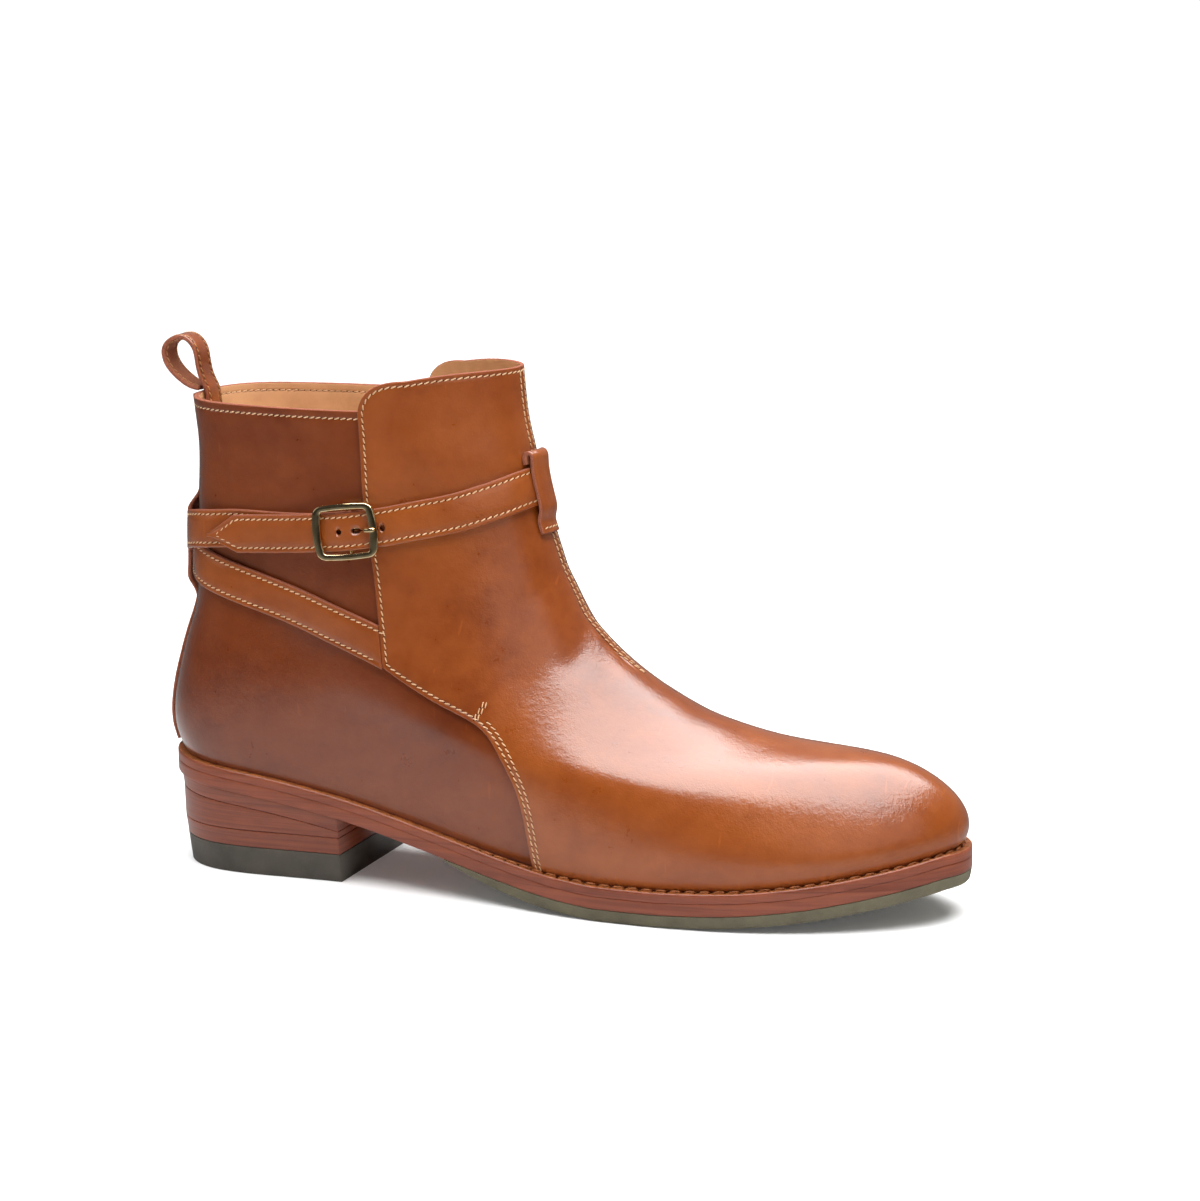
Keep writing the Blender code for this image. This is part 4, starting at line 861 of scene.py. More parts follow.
def waxed_leather(name="waxed_calf", deepen=1.0):
    """Smooth vegetable-tanned calf, waxed: clouded tan with fine pores and a soft gloss."""
    finish, tree, shader = new_finish(name, Coat_Weight=1.0, Coat_Roughness=0.10, Specular_IOR_Level=0.3)
    if tree is None:
        return finish
    # deepen darkens the whole finish; on the quarters that is partly their own tone and partly painted shade
    base = tinted(colours().leather, deepen, deepen ** 1.35, deepen ** 1.5)
    where = own_coordinates(tree)
    clouds = noise(tree, where, 16.0, 4.0, 0.55, 0.6)
    mottle = noise(tree, where, 150.0, 5.0, 0.6)
    pull_up = noise(tree, own_coordinates(tree, (30.0, 40.0, 90.0)), 1.0, 3.0, 0.5)
    cloud_mix = maths(tree, "ADD", maths(tree, "MULTIPLY", clouds, 0.62),
                      maths(tree, "MULTIPLY", mottle, 0.22))
    cloud_mix = maths(tree, "ADD", cloud_mix, maths(tree, "MULTIPLY", pull_up, 0.16))
    colour = tones(tree, cloud_mix,
                   (0.30, tinted(base, 0.55, 0.42, 0.34)),
                   (0.47, tinted(base, 0.92, 0.86, 0.80)),
                   (0.70, tinted(base, 1.28, 1.38, 1.50)))
    pores = cells(tree, where, 1500.0)
    fine = noise(tree, where, 2600.0, 3.0, 0.6)
    creped = noise(tree, where, 520.0, 4.0, 0.6)
    streaks = noise(tree, own_coordinates(tree, (420.0, 60.0, 70.0)), 1.0, 1.0, 0.5, 0.6)
    scratch = spread(tree, streaks, 0.745, 0.77)
    colour = blend(tree, maths(tree, "MULTIPLY", scratch, 0.16), colour, tinted(base, 2.0, 2.3, 2.6))
    tree.links.new(colour, shader.inputs["Base Color"])
    tree.links.new(spread(tree, mottle, 0.3, 0.7, 0.27, 0.37), shader.inputs["Roughness"])
    normal = relief(tree, noise(tree, where, 70.0, 3.0, 0.5), 0.00035, 0.5)
    normal = relief(tree, creped, 0.00017, 0.6, normal)
    normal = relief(tree, maths(tree, "ADD", maths(tree, "MULTIPLY", pores, 0.8), fine), 0.00004, 0.8, normal)
    tree.links.new(normal, shader.inputs["Normal"])
    tree.links.new(normal, shader.inputs["Coat Normal"])
    return finish


def raw_edge():
    """Cut edge of the leather: fuzzy, reddish and dull."""
    stops = ((0.32, (0.62,)), (0.52, (1.0,)), (0.72, (1.35,)))
    return grained("raw_edge", colours().raw_edge, (1800.0, 4.0, 0.7), stops, (0.62, 0.85), (0.00018, 0.9),
                   Specular_IOR_Level=0.3)


def lining_leather():
    """Undyed lining leather: pale tan, smooth and dull."""
    finish, tree, shader = new_finish("lining_calf", Specular_IOR_Level=0.35)
    if tree is None:
        return finish
    base = colours().lining
    where = own_coordinates(tree)
    clouds = noise(tree, where, 40.0, 5.0, 0.6)
    colour = tones(tree, clouds, (0.34, tinted(base, 0.80, 0.76, 0.70)), (0.52, base),
                   (0.70, tinted(base, 1.12)))
    plug(tree, shader, Base_Color=colour,
         Roughness=spread(tree, clouds, 0.3, 0.7, 0.48, 0.60),
         Normal=relief(tree, noise(tree, where, 1300.0, 3.0, 0.6), 0.00008, 0.7))
    return finish


def flesh_side():
    """The leather's own flesh side, hidden but for its borders."""
    base = tinted(colours().raw_edge, 1.1, 1.25, 1.2)
    return grained("flesh_side", base, (1100.0, 5.0, 0.7), ((0.3, (0.7,)), (0.7, (1.15,))), (0.8, 0.95),
                   (0.00015, 0.8), Specular_IOR_Level=0.2)


def waxed_thread(name, tint):
    """Twisted and waxed thread."""
    finish, tree, shader = new_finish(name, Specular_IOR_Level=0.4)
    if tree is None:
        return finish
    where = own_coordinates(tree)
    twist = noise(tree, where, 2600.0, 2.0, 0.6)
    age = noise(tree, where, 220.0, 3.0)
    colour = tones(tree, twist, (0.36, tinted(tint, 0.66, 0.60, 0.52)), (0.56, tint),
                   (0.72, tinted(tint, 1.15)))
    colour = blend(tree, spread(tree, age, 0.55, 0.75, 0.0, 0.5), colour, tinted(tint, 0.55, 0.45, 0.35))
    plug(tree, shader, Base_Color=colour,
         Roughness=spread(tree, twist, 0.3, 0.7, 0.5, 0.65),
         Normal=relief(tree, twist, 0.0001, 0.8))
    return finish


def painted_hole_shade():
    """Near-black disc at each stitch hole: painted shade inside the hole."""
    finish, tree, shader = new_finish("painted_hole_shade", Specular_IOR_Level=0.1)
    if tree is None:
        return finish
    fibres = noise(tree, own_coordinates(tree), 2500.0, 2.0)
    tree.links.new(tones(tree, fibres, (0.3, (0.022, 0.006, 0.002)), (0.7, (0.050, 0.014, 0.005))),
                   shader.inputs["Base Color"])
    tree.links.new(spread(tree, fibres, 0.3, 0.7, 0.8, 0.95), shader.inputs["Roughness"])
    return finish


def sole_edge_leather(name, fine_lines, deepen=1.0):
    """Edge of stacked sole leather, inked and waxed: thin layers that run round the boot."""
    finish, tree, shader = new_finish(name, Coat_Weight=0.2, Coat_Roughness=0.25)
    if tree is None:
        return finish
    base = tinted(colours().sole_edge, deepen)
    layers = noise(tree, own_coordinates(tree, (14.0, 14.0, fine_lines)), 1.0, 4.0, 0.6, 0.3)
    stains = noise(tree, own_coordinates(tree, (60.0, 60.0, 220.0)), 1.0, 4.0, 0.6)
    thin = noise(tree, own_coordinates(tree, (9.0, 9.0, fine_lines * 1.7)), 1.0, 2.0, 0.5)
    thin = spread(tree, thin, 0.62, 0.68)
    colour = tones(tree, layers, (0.32, tinted(base, 0.76, 0.66, 0.62)), (0.50, base),
                   (0.70, tinted(base, 1.28, 1.34, 1.3)))
    colour = blend(tree, spread(tree, stains, 0.45, 0.75, 0.0, 0.35), colour, tinted(base, 1.7, 1.75, 1.5))
    colour = blend(tree, maths(tree, "MULTIPLY", thin, 0.32), colour, tinted(base, 0.40, 0.32, 0.32))
    tree.links.new(colour, shader.inputs["Base Color"])
    tree.links.new(spread(tree, layers, 0.3, 0.7, 0.30, 0.46), shader.inputs["Roughness"])
    normal = relief(tree, layers, 0.00016, 0.7)
    normal = relief(tree, noise(tree, own_coordinates(tree), 900.0, 4.0, 0.6), 0.00006, 0.6, normal)
    tree.links.new(normal, shader.inputs["Normal"])
    return finish


def rubber(name, tint, depth, roughness):
    """Moulded rubber with a cut, slightly crumbled edge."""
    finish, tree, shader = new_finish(name, Specular_IOR_Level=0.4)
    if tree is None:
        return finish
    where = own_coordinates(tree)
    crumb = noise(tree, where, 1500.0, 5.0, 0.7)
    dust = noise(tree, where, 70.0, 4.0, 0.6)
    colour = tones(tree, dust, (0.34, tinted(tint, 0.78)), (0.52, tint),
                   (0.72, tinted(tint, 1.22, 1.20, 1.15)))
    colour = blend(tree, spread(tree, crumb, 0.55, 0.75, 0.0, 0.4), colour, tinted(tint, 1.5, 1.5, 1.4))
    plug(tree, shader, Base_Color=colour,
         Roughness=spread(tree, crumb, 0.3, 0.7, roughness - 0.06, roughness + 0.08),
         Normal=relief(tree, crumb, depth, 0.8))
    return finish


def polished_brass():
    """Polished, lightly tarnished brass plate."""
    finish, tree, shader = new_finish("polished_brass", Metallic=1.0)
    if tree is None:
        return finish
    base = colours().brass
    where = own_coordinates(tree)
    tarnish = noise(tree, where, 260.0, 4.0, 0.6)
    hairlines = noise(tree, own_coordinates(tree, (400.0, 400.0, 5000.0)), 1.0, 2.0)
    colour = tones(tree, tarnish, (0.36, tinted(base, 0.86, 0.80, 0.68)), (0.60, base))
    plug(tree, shader, Base_Color=colour,
         Roughness=spread(tree, tarnish, 0.35, 0.7, 0.06, 0.13),
         Normal=relief(tree, hairlines, 0.00001, 0.4))
    return finish


# Upper: quarters, lining, vamp with its wings


def make_quarters():
    """Both quarters as one shell and the lining inside it, open at the collar and underneath."""
    angles = np.arange(240) * 1.5
    size = sizes()
    inset = size.collar_inset
    collar = collar_height(angles)
    drops = (0.0095, 0.0070, 0.0052, inset + 0.0008, inset + 0.0005, inset + 0.00025, inset,
             inset - 0.00025, inset - 0.0005, inset - 0.0008, 0.0012, 0.0007, size.edge_round)
    limit = (ring_at(angles, collar - COLLAR_BAND) - 1.0) / (TOP_ROW - 1.0)
    levels = np.concatenate([np.linspace(0.0, 1.0, 9)[:-1], np.linspace(1.0, TOP_ROW, 78)])
    rows = [np.where(level > 1.0, 1.0 + (level - 1.0) * limit, level) for level in levels]
    rows += [ring_at(angles, collar - drop) for drop in drops]
    rings = np.array(rows)
    params = np.stack([np.broadcast_to(angles, rings.shape), rings], axis=-1).reshape(-1, 2)
    faces = grid_faces(len(rings), len(angles), True)
    distance = np.full(len(rings), 1.0)
    distance[-len(drops):] = drops
    dent = size.stitch_groove * np.exp(-((distance - inset) / GROOVE_WIDTH) ** 2)
    dent = np.repeat(dent, len(angles))
    flesh = np.full(len(params), LINING_SPLIT + LINING_GAP)
    mesh = leather_sheet("quarters", params, faces, -dent, flesh, size.edge_round)
    # Quarters darker than the vamp: partly their own deeper tone, partly painted shade
    deep_and_shaded = waxed_leather("waxed_calf_dark_and_shaded", QUARTER_DEPTH)
    add_piece("quarters", mesh, [deep_and_shaded, raw_edge(), flesh_side()], ["upper"])
    flesh = np.full(len(params), LINING_SPLIT - LINING_GAP)
    mesh = leather_sheet("lining", params, faces, flesh, -UPPER_WALL + dent,
                         size.edge_round * 0.7)
    add_piece("lining", mesh, [flesh_side(), raw_edge(), lining_leather()], ["upper"])


def wing_lines():
    """Angle and ring along half of the vamp's border, on the outer side: the seam from the welt up to the
    wing's lower corner, the free edge up to the middle of the rounded corner, and the top to the front."""
    def side(rows):
        return [(x * LAST_LENGTH - HEEL_LENGTH / 2, float(shaft_height(z))) for x, z in rows]

    top, edge, seam = side(WING_TOP), side(WING_EDGE), side(VAMP_SEAM)
    corner_x, corner_z = WING_CORNER_REACH * LAST_LENGTH - HEEL_LENGTH / 2, top[-1][1]
    corner = np.array([((1 - t) ** 2 * edge[0][0] + 2 * t * (1 - t) * corner_x + t * t * top[-1][0],
                        (1 - t) ** 2 * edge[0][1] + 2 * t * (1 - t) * corner_z + t * t * top[-1][1])
                       for t in np.linspace(0, 1, 25)])
    lower = rounded_path([edge[-1]] + seam, 12)[::-1]
    free = np.concatenate([rounded_path(edge, 12)[::-1][:-1], corner[:13]])
    over = np.concatenate([corner[12:-1], rounded_path(top[::-1], 12)])
    angle, ring = on_side_view(lower[:, 0], lower[:, 1])
    first = int(np.argmax(ring > 1e-4))
    below, above = lower[first - 1], lower[first]
    gaps = seat_height(below[0]) - below[1], above[1] - seat_height(above[0])
    start_x = below[0] + (above[0] - below[0]) * gaps[0] / (gaps[0] + gaps[1])
    foot = ring_values(np.array(0.0))
    start = np.degrees(np.arccos(1 - 2 * (start_x - foot["back_x"]) / (foot["front_x"] - foot["back_x"])))
    seam_line = (np.concatenate([[start], angle[first:]]), np.concatenate([[0.0], ring[first:]]))
    free_line = on_side_view(free[:, 0], free[:, 1])
    angle, ring = on_side_view(over[:, 0], over[:, 1])
    ahead = angle < 179.9
    front = ring_at([180.0], [float(shaft_height(WING_TOP[1][1]))])
    return seam_line, free_line, (np.append(angle[ahead], 180.0), np.append(ring[ahead], front))


def resample(angle, ring, places):
    """Points at shares of a line's length on the last."""
    points = last_point(angle, ring)
    reach = reach_along(points)
    at = np.asarray(places) * reach[-1]
    return np.interp(at, reach, angle), np.interp(at, reach, ring)


def inset_line(angle, ring, distance):
    """A line on the last moved to its right side, into the vamp, by a distance."""
    points = last_point(angle, ring)
    run = np.gradient(points, axis=0)
    right = unit(np.cross(run, last_normal(angle, ring)))
    return walk(angle, ring, right * distance)


def meeting(first, second):
    """Where the end of one line crosses the start of another: the whole steps before it on each line and
    the crossing itself."""
    p, q = np.column_stack(first), np.column_stack(second)
    r, s = np.diff(p, axis=0)[:, None], np.diff(q, axis=0)[None]
    gap = q[None, :-1] - p[:-1, None]
    turn = r[..., 0] * s[..., 1] - r[..., 1] * s[..., 0]
    turn = np.where(np.abs(turn) < 1e-15, 1e-15, turn)
    t = (gap[..., 0] * s[..., 1] - gap[..., 1] * s[..., 0]) / turn
    u = (gap[..., 0] * r[..., 1] - gap[..., 1] * r[..., 0]) / turn
    hits = np.argwhere((t >= 0) & (t <= 1) & (u >= 0) & (u <= 1))
    if not len(hits):
        return len(p) - 1, 0, (p[-1] + q[0]) / 2
    i, j = hits[-1]
    return i, j, p[i] + r[i, 0] * t[i, j]


def border_line(distance):
    """Angle and ring of the vamp's border moved inwards by a distance: from the welt on the inner side, up
    and over the top, to the welt on the outer side. The same number of points at any distance."""
    seam, free, over = wing_lines()
    seam = resample(*seam, np.linspace(0, 1, 240))
    free = resample(*free, np.linspace(0, 1, 240))
    fine = np.linspace(0, 1, TOP_STEPS)
    over = resample(*over, 1 - (1 - fine) ** 1.35)
    if distance:
        whole = inset_line(np.append(free[0], over[0][1:]), np.append(free[1], over[1][1:]), distance)
        free = whole[0][:240], whole[1][:240]
        over = whole[0][239:].copy(), whole[1][239:].copy()
        over[0][-1] = 180.0
        seam = inset_line(*seam, distance)
        i, j, cross = meeting(seam, free)
        seam = np.append(seam[0][:i + 1], cross[0]), np.append(seam[1][:i + 1], cross[1])
        free = np.append(cross[0], free[0][j + 1:]), np.append(cross[1], free[1][j + 1:])
    seam = resample(*seam, np.linspace(0, 1, SEAM_STEPS))
    free = resample(*free, np.linspace(0, 1, FREE_STEPS))
    seam[1][0] = 0.0
    angle = np.concatenate([seam[0], free[0][1:], over[0][1:]])
    ring = np.concatenate([seam[1], free[1][1:], over[1][1:]])
    return np.concatenate([360 - angle, angle[::-1][1:]]), np.concatenate([ring, ring[::-1][1:]])


def front_seam_foot():
    """Ring where the front seam ends above the toe."""
    return float(ring_at(180.0, FRONT_SEAM_FOOT))


def make_vamp():
    """Vamp and wings: a band along the border and a grid inside it."""
    size = sizes()
    inset = size.seam_inset
    steps = [size.edge_round, 0.0006, 0.0010, inset - 0.0005, inset - 0.00025, inset, inset + 0.00025,
             inset + 0.0005, 0.0030, 0.0038, 0.0050]
    lines = [border_line(distance) for distance in steps]
    band = np.stack([np.stack(line, axis=1) for line in lines])
    border = band[-1]
    side, count = RISE_STEPS, len(border)
    inner_side, top, outer_side = border[:side], border[side - 1:count - side + 1], border[::-1][:side]
    width = len(top)
    u = np.linspace(0, 1, side)[:, None, None]
    reach = reach_along(last_point(top[:, 0], top[:, 1]))
    v = (reach / reach[-1])[None, :, None]
    foot = np.stack([np.interp(v[0, :, 0], [0, 1], [inner_side[0, 0], outer_side[0, 0]]), np.zeros(width)],
                    axis=1)
    grid = ((1 - v) * inner_side[:, None] + v * outer_side[:, None] + (1 - u) * foot[None] + u * top[None]
            - (1 - u) * (1 - v) * inner_side[0] - (1 - u) * v * outer_side[0]
            - u * (1 - v) * top[0] - u * v * top[-1])
    params = np.concatenate([band.reshape(-1, 2), grid.reshape(-1, 2)])
    band_faces = grid_faces(len(steps), count)
    inner_faces = grid_faces(side, width)[:, ::-1] + band.shape[0] * count
    faces = np.concatenate([band_faces, inner_faces])
    distance = np.concatenate([np.repeat(steps, count), np.full(side * width, 1.0)])
    first, faces = weld(params, faces)
    params, distance = params[first], distance[first]
    faces = faces[(faces != np.roll(faces, 1, axis=1)).all(axis=1)]
    dent = size.stitch_groove * np.exp(-((distance - inset) / GROOVE_WIDTH) ** 2)
    points = last_point(params[:, 0], params[:, 1])
    foot_ring = front_seam_foot()
    fade = np.clip((params[:, 1] - foot_ring) / 0.25, 0, 1) * (np.abs(params[:, 0] - 180) < 30)
    dent = dent + fade * FRONT_GROOVE_DEPTH * np.exp(-(points[:, 1] / FRONT_GROOVE_WIDTH) ** 2)
    outer = WRAP_CLEARANCE + VAMP_THICKNESS - dent
    mesh = leather_sheet("vamp_and_wings", params, faces, outer, np.full(len(params), WRAP_CLEARANCE),
                         size.edge_round)
    add_piece("vamp_and_wings", mesh, [waxed_leather(), raw_edge(), lining_leather()],
              ["vamp"])


# Straps, stay, keeper and loop


def strap_lift(rows, angles):
    """Lift of the inner face of a strap from what lies under it."""
    wing, straps, arch = (smooth(rows, angles, STRAP_COLUMNS.index(name))
                          for name in ("wing", "straps", "arch"))
    return (WRAP_CLEARANCE + wing * (VAMP_THICKNESS + WRAP_CLEARANCE)
            + straps * (STRAP_THICKNESS + WRAP_CLEARANCE) + arch * BUCKLE_ARCH)


def strap_heights(path, angles):
    """Height of a strap's middle line and its rise for each degree."""
    rows = sorted(path)
    rise = shaft_height(smooth(rows, angles + 1.0)) - shaft_height(smooth(rows, angles - 1.0))
    return shaft_height(smooth(rows, angles)), rise / 2


class StrapPath:
    """A strap's middle line on the last, read at its stations by across and out distances."""

    def __init__(self, angle, height, slope, lift, thickness):
        self.angle, self.height, self.slope, self.lift = (np.asarray(v, float)
                                                          for v in (angle, height, slope, lift))
        self.thickness = np.broadcast_to(thickness, self.angle.shape).astype(float)
        level = np.zeros_like(self.angle)
        ahead, behind = (at_height(self.angle + move, self.height, level) for move in (0.5, -0.5))
        turn = ahead - behind
        climb = (at_height(self.angle, self.height + 0.001, level)
                 - at_height(self.angle, self.height - 0.001, level)) / 0.002
        path = turn + climb * self.slope[:, None]
        self.lean = -(climb * path).sum(1) / (turn * path).sum(1)
        self.span = np.linalg.norm(turn * self.lean[:, None] + climb, axis=1)
        step = np.linalg.norm(path, axis=1)
        along, rise = np.gradient(self.angle) * step, np.gradient(self.lift)
        length = np.hypot(along, rise)
        self.back, self.out = -rise / length / step, along / length
        self.reach = np.concatenate([[0.0], np.cumsum((length[1:] + length[:-1]) / 2)])

    def point(self, station, across, out):
        """Points at fractional stations, at distances across the strap and out from its middle."""
        order = np.arange(len(self.angle))
        values = [np.interp(station, order, v) for v in
                  (self.angle, self.height, self.slope, self.lift, self.lean, self.span, self.back, self.out)]
        angle, height, slope, lift, lean, span, back, outward = values
        return at_height(angle + out * back + across * lean / span,
                         height + out * back * slope + across / span, lift + out * outward)

    def station_at(self, reach):
        return np.interp(reach, self.reach, np.arange(len(self.reach)))

    def stitch_line(self, reach, across, out):
        """Points and normals of a seam by distances along and across the strap."""
        station = self.station_at(reach)
        across = np.broadcast_to(across, np.shape(station))
        points = self.point(station, across, np.full(np.shape(station), out))
        return points, self.point(station, across, np.full(np.shape(station), out + 0.001)) - points


def long_strap_path():
    """Middle line of the strap that ends in the point."""
    angles = np.arange(LONG_STRAP[-1][0], LONG_STRAP[0][0] + 0.01, 1.0)
    heights, slope = strap_heights(LONG_STRAP, angles)
    lift = strap_lift(sorted(LONG_STRAP), angles) + STRAP_THICKNESS / 2
    return StrapPath(angles, heights, slope, lift, STRAP_THICKNESS)


def buckle_height():
    """Height of the buckle's middle, on the long strap's line."""
    return float(shaft_height(smooth(sorted(LONG_STRAP), BUCKLE_ANGLE - 360.0)))


def buckle_strap_path():
    """Middle line of the strap that carries the buckle, with its fold round the bar."""
    step = float(np.linalg.norm(np.diff(at_height(np.array([BUCKLE_ANGLE - .5, BUCKLE_ANGLE + .5]),
                                                  np.full(2, buckle_height()), 0.0), axis=0)))
    fold = rounded_path(FOLD, 4)
    fold_angles = BUCKLE_ANGLE + fold[:, 0] * FOLD_RADIUS / step
    angles = np.arange(BUCKLE_STRAP[0][0], fold_angles[0] - 1.2, 1.0)
    angles = np.concatenate([angles, fold_angles])
    heights, slope = strap_heights(BUCKLE_STRAP, angles)
    crossing = heights[len(angles) - len(fold) + 16]
    heights = heights + (buckle_height() - crossing) * np.clip((angles - 60.0) / 20.0, 0, 1)
    lift = strap_lift(sorted(BUCKLE_STRAP), angles) + STRAP_THICKNESS / 2
    lift[-len(fold):] = CENTRE_BAR_LIFT + fold[:, 1] * FOLD_RADIUS
    thickness = np.full(len(angles), STRAP_THICKNESS)
    thickness[-len(fold):] = fold[:, 2] * STRAP_THICKNESS
    return StrapPath(angles, heights, slope, lift, thickness)


def strap_mesh(name, path, half_widths):
    """Body of a strap with rounded edges and the two grooves of its seams."""
    size = sizes()
    section = strip_section(STRAP_WIDTH / 2, STRAP_THICKNESS, 0.00045, size.stitch_groove, size.seam_inset,
                            0.00008)
    order = np.arange(len(path.angle), dtype=float)
    station = np.repeat(order, len(section))
    across = (section[None, :, 0] * (half_widths / (STRAP_WIDTH / 2))[:, None]).reshape(-1)
    out = (section[None, :, 1] * (path.thickness / STRAP_THICKNESS)[:, None]).reshape(-1)
    points = path.point(station, across, out).reshape(len(order), len(section), 3)
    finish = np.tile(section_finish(section, STRAP_THICKNESS), len(order) - 1)
    return closed_tube(name, points[:, ::-1],
                       np.concatenate([finish.reshape(-1, len(section))[:, ::-1].reshape(-1), [1, 1]]))


def cut(piece, cutters):
    """Cuts holes in a piece and keeps the result as its mesh."""
    for cutter in cutters:
        step = piece.modifiers.new("cut", "BOOLEAN")
        step.operation, step.solver, step.object = "DIFFERENCE", "EXACT", cutter
    graph = bpy.context.evaluated_depsgraph_get()
    mesh = bpy.data.meshes.new_from_object(piece.evaluated_get(graph), depsgraph=graph)
    piece.modifiers.clear()
    old = piece.data
    piece.data = mesh
    bpy.data.meshes.remove(old)
    for cutter in cutters:
        used = cutter.data
        bpy.data.objects.remove(cutter)
        bpy.data.meshes.remove(used)


def buckle_axes():
    """Origin and axes of the buckle: along the strap, across it and outward."""
    ends = shaft_height(smooth(sorted(LONG_STRAP), [BUCKLE_ANGLE - 350.0, BUCKLE_ANGLE - 370.0]))
    angles = np.array([BUCKLE_ANGLE + 10.0, BUCKLE_ANGLE - 10.0])
    run = np.diff(at_height(angles, ends, 0.0), axis=0)[0]
    angle, height = np.array([BUCKLE_ANGLE]), np.array([buckle_height()])
    origin = at_height(angle, height, 0.0)[0]
    out = last_normal(angle, ring_at(angle, height))[0]
    level = np.cross(np.array([0.0, 0.0, 1.0]), out)
    along = level / np.linalg.norm(level) + np.array([0.0, 0.0, run[2] / run[0]])
    along -= out * (along @ out)
    along /= np.linalg.norm(along)
    return origin, along, np.cross(out, along), out


def in_buckle(axes, along, across, out):
    """Points given along the buckle, across it and outward."""
    origin, u, v, w = axes
    along, across, out = np.broadcast_arrays(along, across, out)
    return origin + along[..., None] * u + across[..., None] * v + out[..., None] * w


def temporary(name, mesh):
    """Object for a cut, its faces turned outward."""
    work = bmesh.new()
    work.from_mesh(mesh)
    bmesh.ops.recalc_face_normals(work, faces=work.faces)
    work.to_mesh(mesh)
    work.free()
    cutter = bpy.data.objects.new(name, mesh)
    looks_collection().objects.link(cutter)
    return cutter


def round_cutter(axes, place, reach, half_width):
    """Round or oval punch, at a place along the buckle."""
    turns = np.radians(np.arange(24) * 15.0)
    rows = [in_buckle(axes, place + reach * np.cos(turns), half_width * np.sin(turns), np.full(24, out))
            for out in PUNCH_LEVELS]
    return temporary("punch", closed_tube("punch", rows))


def half_widths_with_point(path, point_at_start):
    """Half width at each station: full, and drawn in to the strap's point."""
    angle = path.angle if point_at_start else -path.angle
    return STRAP_WIDTH / 2 * np.clip((angle - angle.min()) / TIP_LENGTH_DEG, 0.10, 1.0)


def wing_edge_stop(outer):
    """Cutter that ends a strap just under the wing's lower corner."""
    edge = [(x * LAST_LENGTH - HEEL_LENGTH / 2, float(shaft_height(z))) for x, z in WING_EDGE]
    low, high = shaft_height(WING_EDGE[-1][1]) - 0.030, shaft_height(0.50)
    zs = np.linspace(float(high), float(shaft_height(WING_EDGE[-1][1])), 9)
    edge_x, edge_z = zip(*edge[::-1])
    line = [(float(np.interp(z, edge_z, edge_x)) + 0.00005, z) for z in zs]
    line += [(line[-1][0] + 0.002, float(low)), (0.5 * LAST_LENGTH, float(low)),
             (0.5 * LAST_LENGTH, float(high))]
    reach = (-BALL_BREADTH, -0.002) if outer else (0.002, BALL_BREADTH)
    rows = [[(x, y, z) for x, z in line] for y in reach]
    return temporary("edge_stop", closed_tube("edge_stop", rows))


def make_straps():
    """Both straps with their holes and cut ends."""
    axes = buckle_axes()
    finishes = [waxed_leather("strap_calf"), raw_edge(), flesh_side()]
    path = long_strap_path()
    mesh = strap_mesh("long_strap", path, half_widths_with_point(path, True))
    strap = add_piece("long_strap_leather", mesh, finishes, ["long_strap"])
    cutters = [round_cutter(axes, place * BUCKLE_LENGTH / 2, HOLE_RADIUS, HOLE_RADIUS)
               for place in HOLE_PLACES]
    cutters.append(round_cutter(axes, PRONG_HOLE_PLACE * BUCKLE_LENGTH / 2,
                                PRONG_HOLE_REACH * BUCKLE_LENGTH / 2,
                                PRONG_WIDTH / 2 + CLEARANCE))
    cutters.append(wing_edge_stop(True))
    cut(strap, cutters)

    path = buckle_strap_path()
    mesh = strap_mesh("buckle_strap", path, np.full(len(path.angle), STRAP_WIDTH / 2))
    strap = add_piece("buckle_strap_leather", mesh, finishes, ["buckle_strap"])
    along = np.array([-SLOT_BACK, SLOT_FRONT, SLOT_FRONT, -SLOT_BACK])
    across = np.array([-1.0, -1.0, 1.0, 1.0]) * SLOT_WIDTH / 2
    slot = [in_buckle(axes, along, across, np.full(4, out)) for out in SLOT_LEVELS]
    cut(strap, [temporary("prong_slot", closed_tube("prong_slot", slot)), wing_edge_stop(False)])


def wire(axes, centres, normals, half_width, half_depth, closed, sides=20, power=0.42):
    """A bar swept through points given in the buckle's axes; half_width is measured along the normals."""
    centres, normals = np.asarray(centres, float), np.asarray(normals, float)
    if closed:
        tangent = np.roll(centres, -1, axis=0) - np.roll(centres, 1, axis=0)
    else:
        tangent = np.gradient(centres, axis=0)
    depth = unit(np.cross(tangent, normals))
    turns = np.radians(np.arange(sides) * 360.0 / sides)
    c, s = np.cos(turns), np.sin(turns)
    section = np.stack([np.sign(c) * np.abs(c) ** power, np.sign(s) * np.abs(s) ** power], axis=1)
    wide = np.broadcast_to(half_width, (len(centres),))[:, None, None]
    deep = np.broadcast_to(half_depth, (len(centres),))[:, None, None]
    local = (centres[:, None] + normals[:, None] * section[None, :, :1] * wide
             + depth[:, None] * section[None, :, 1:] * deep)
    return in_buckle(axes, local[..., 0], local[..., 1], local[..., 2])


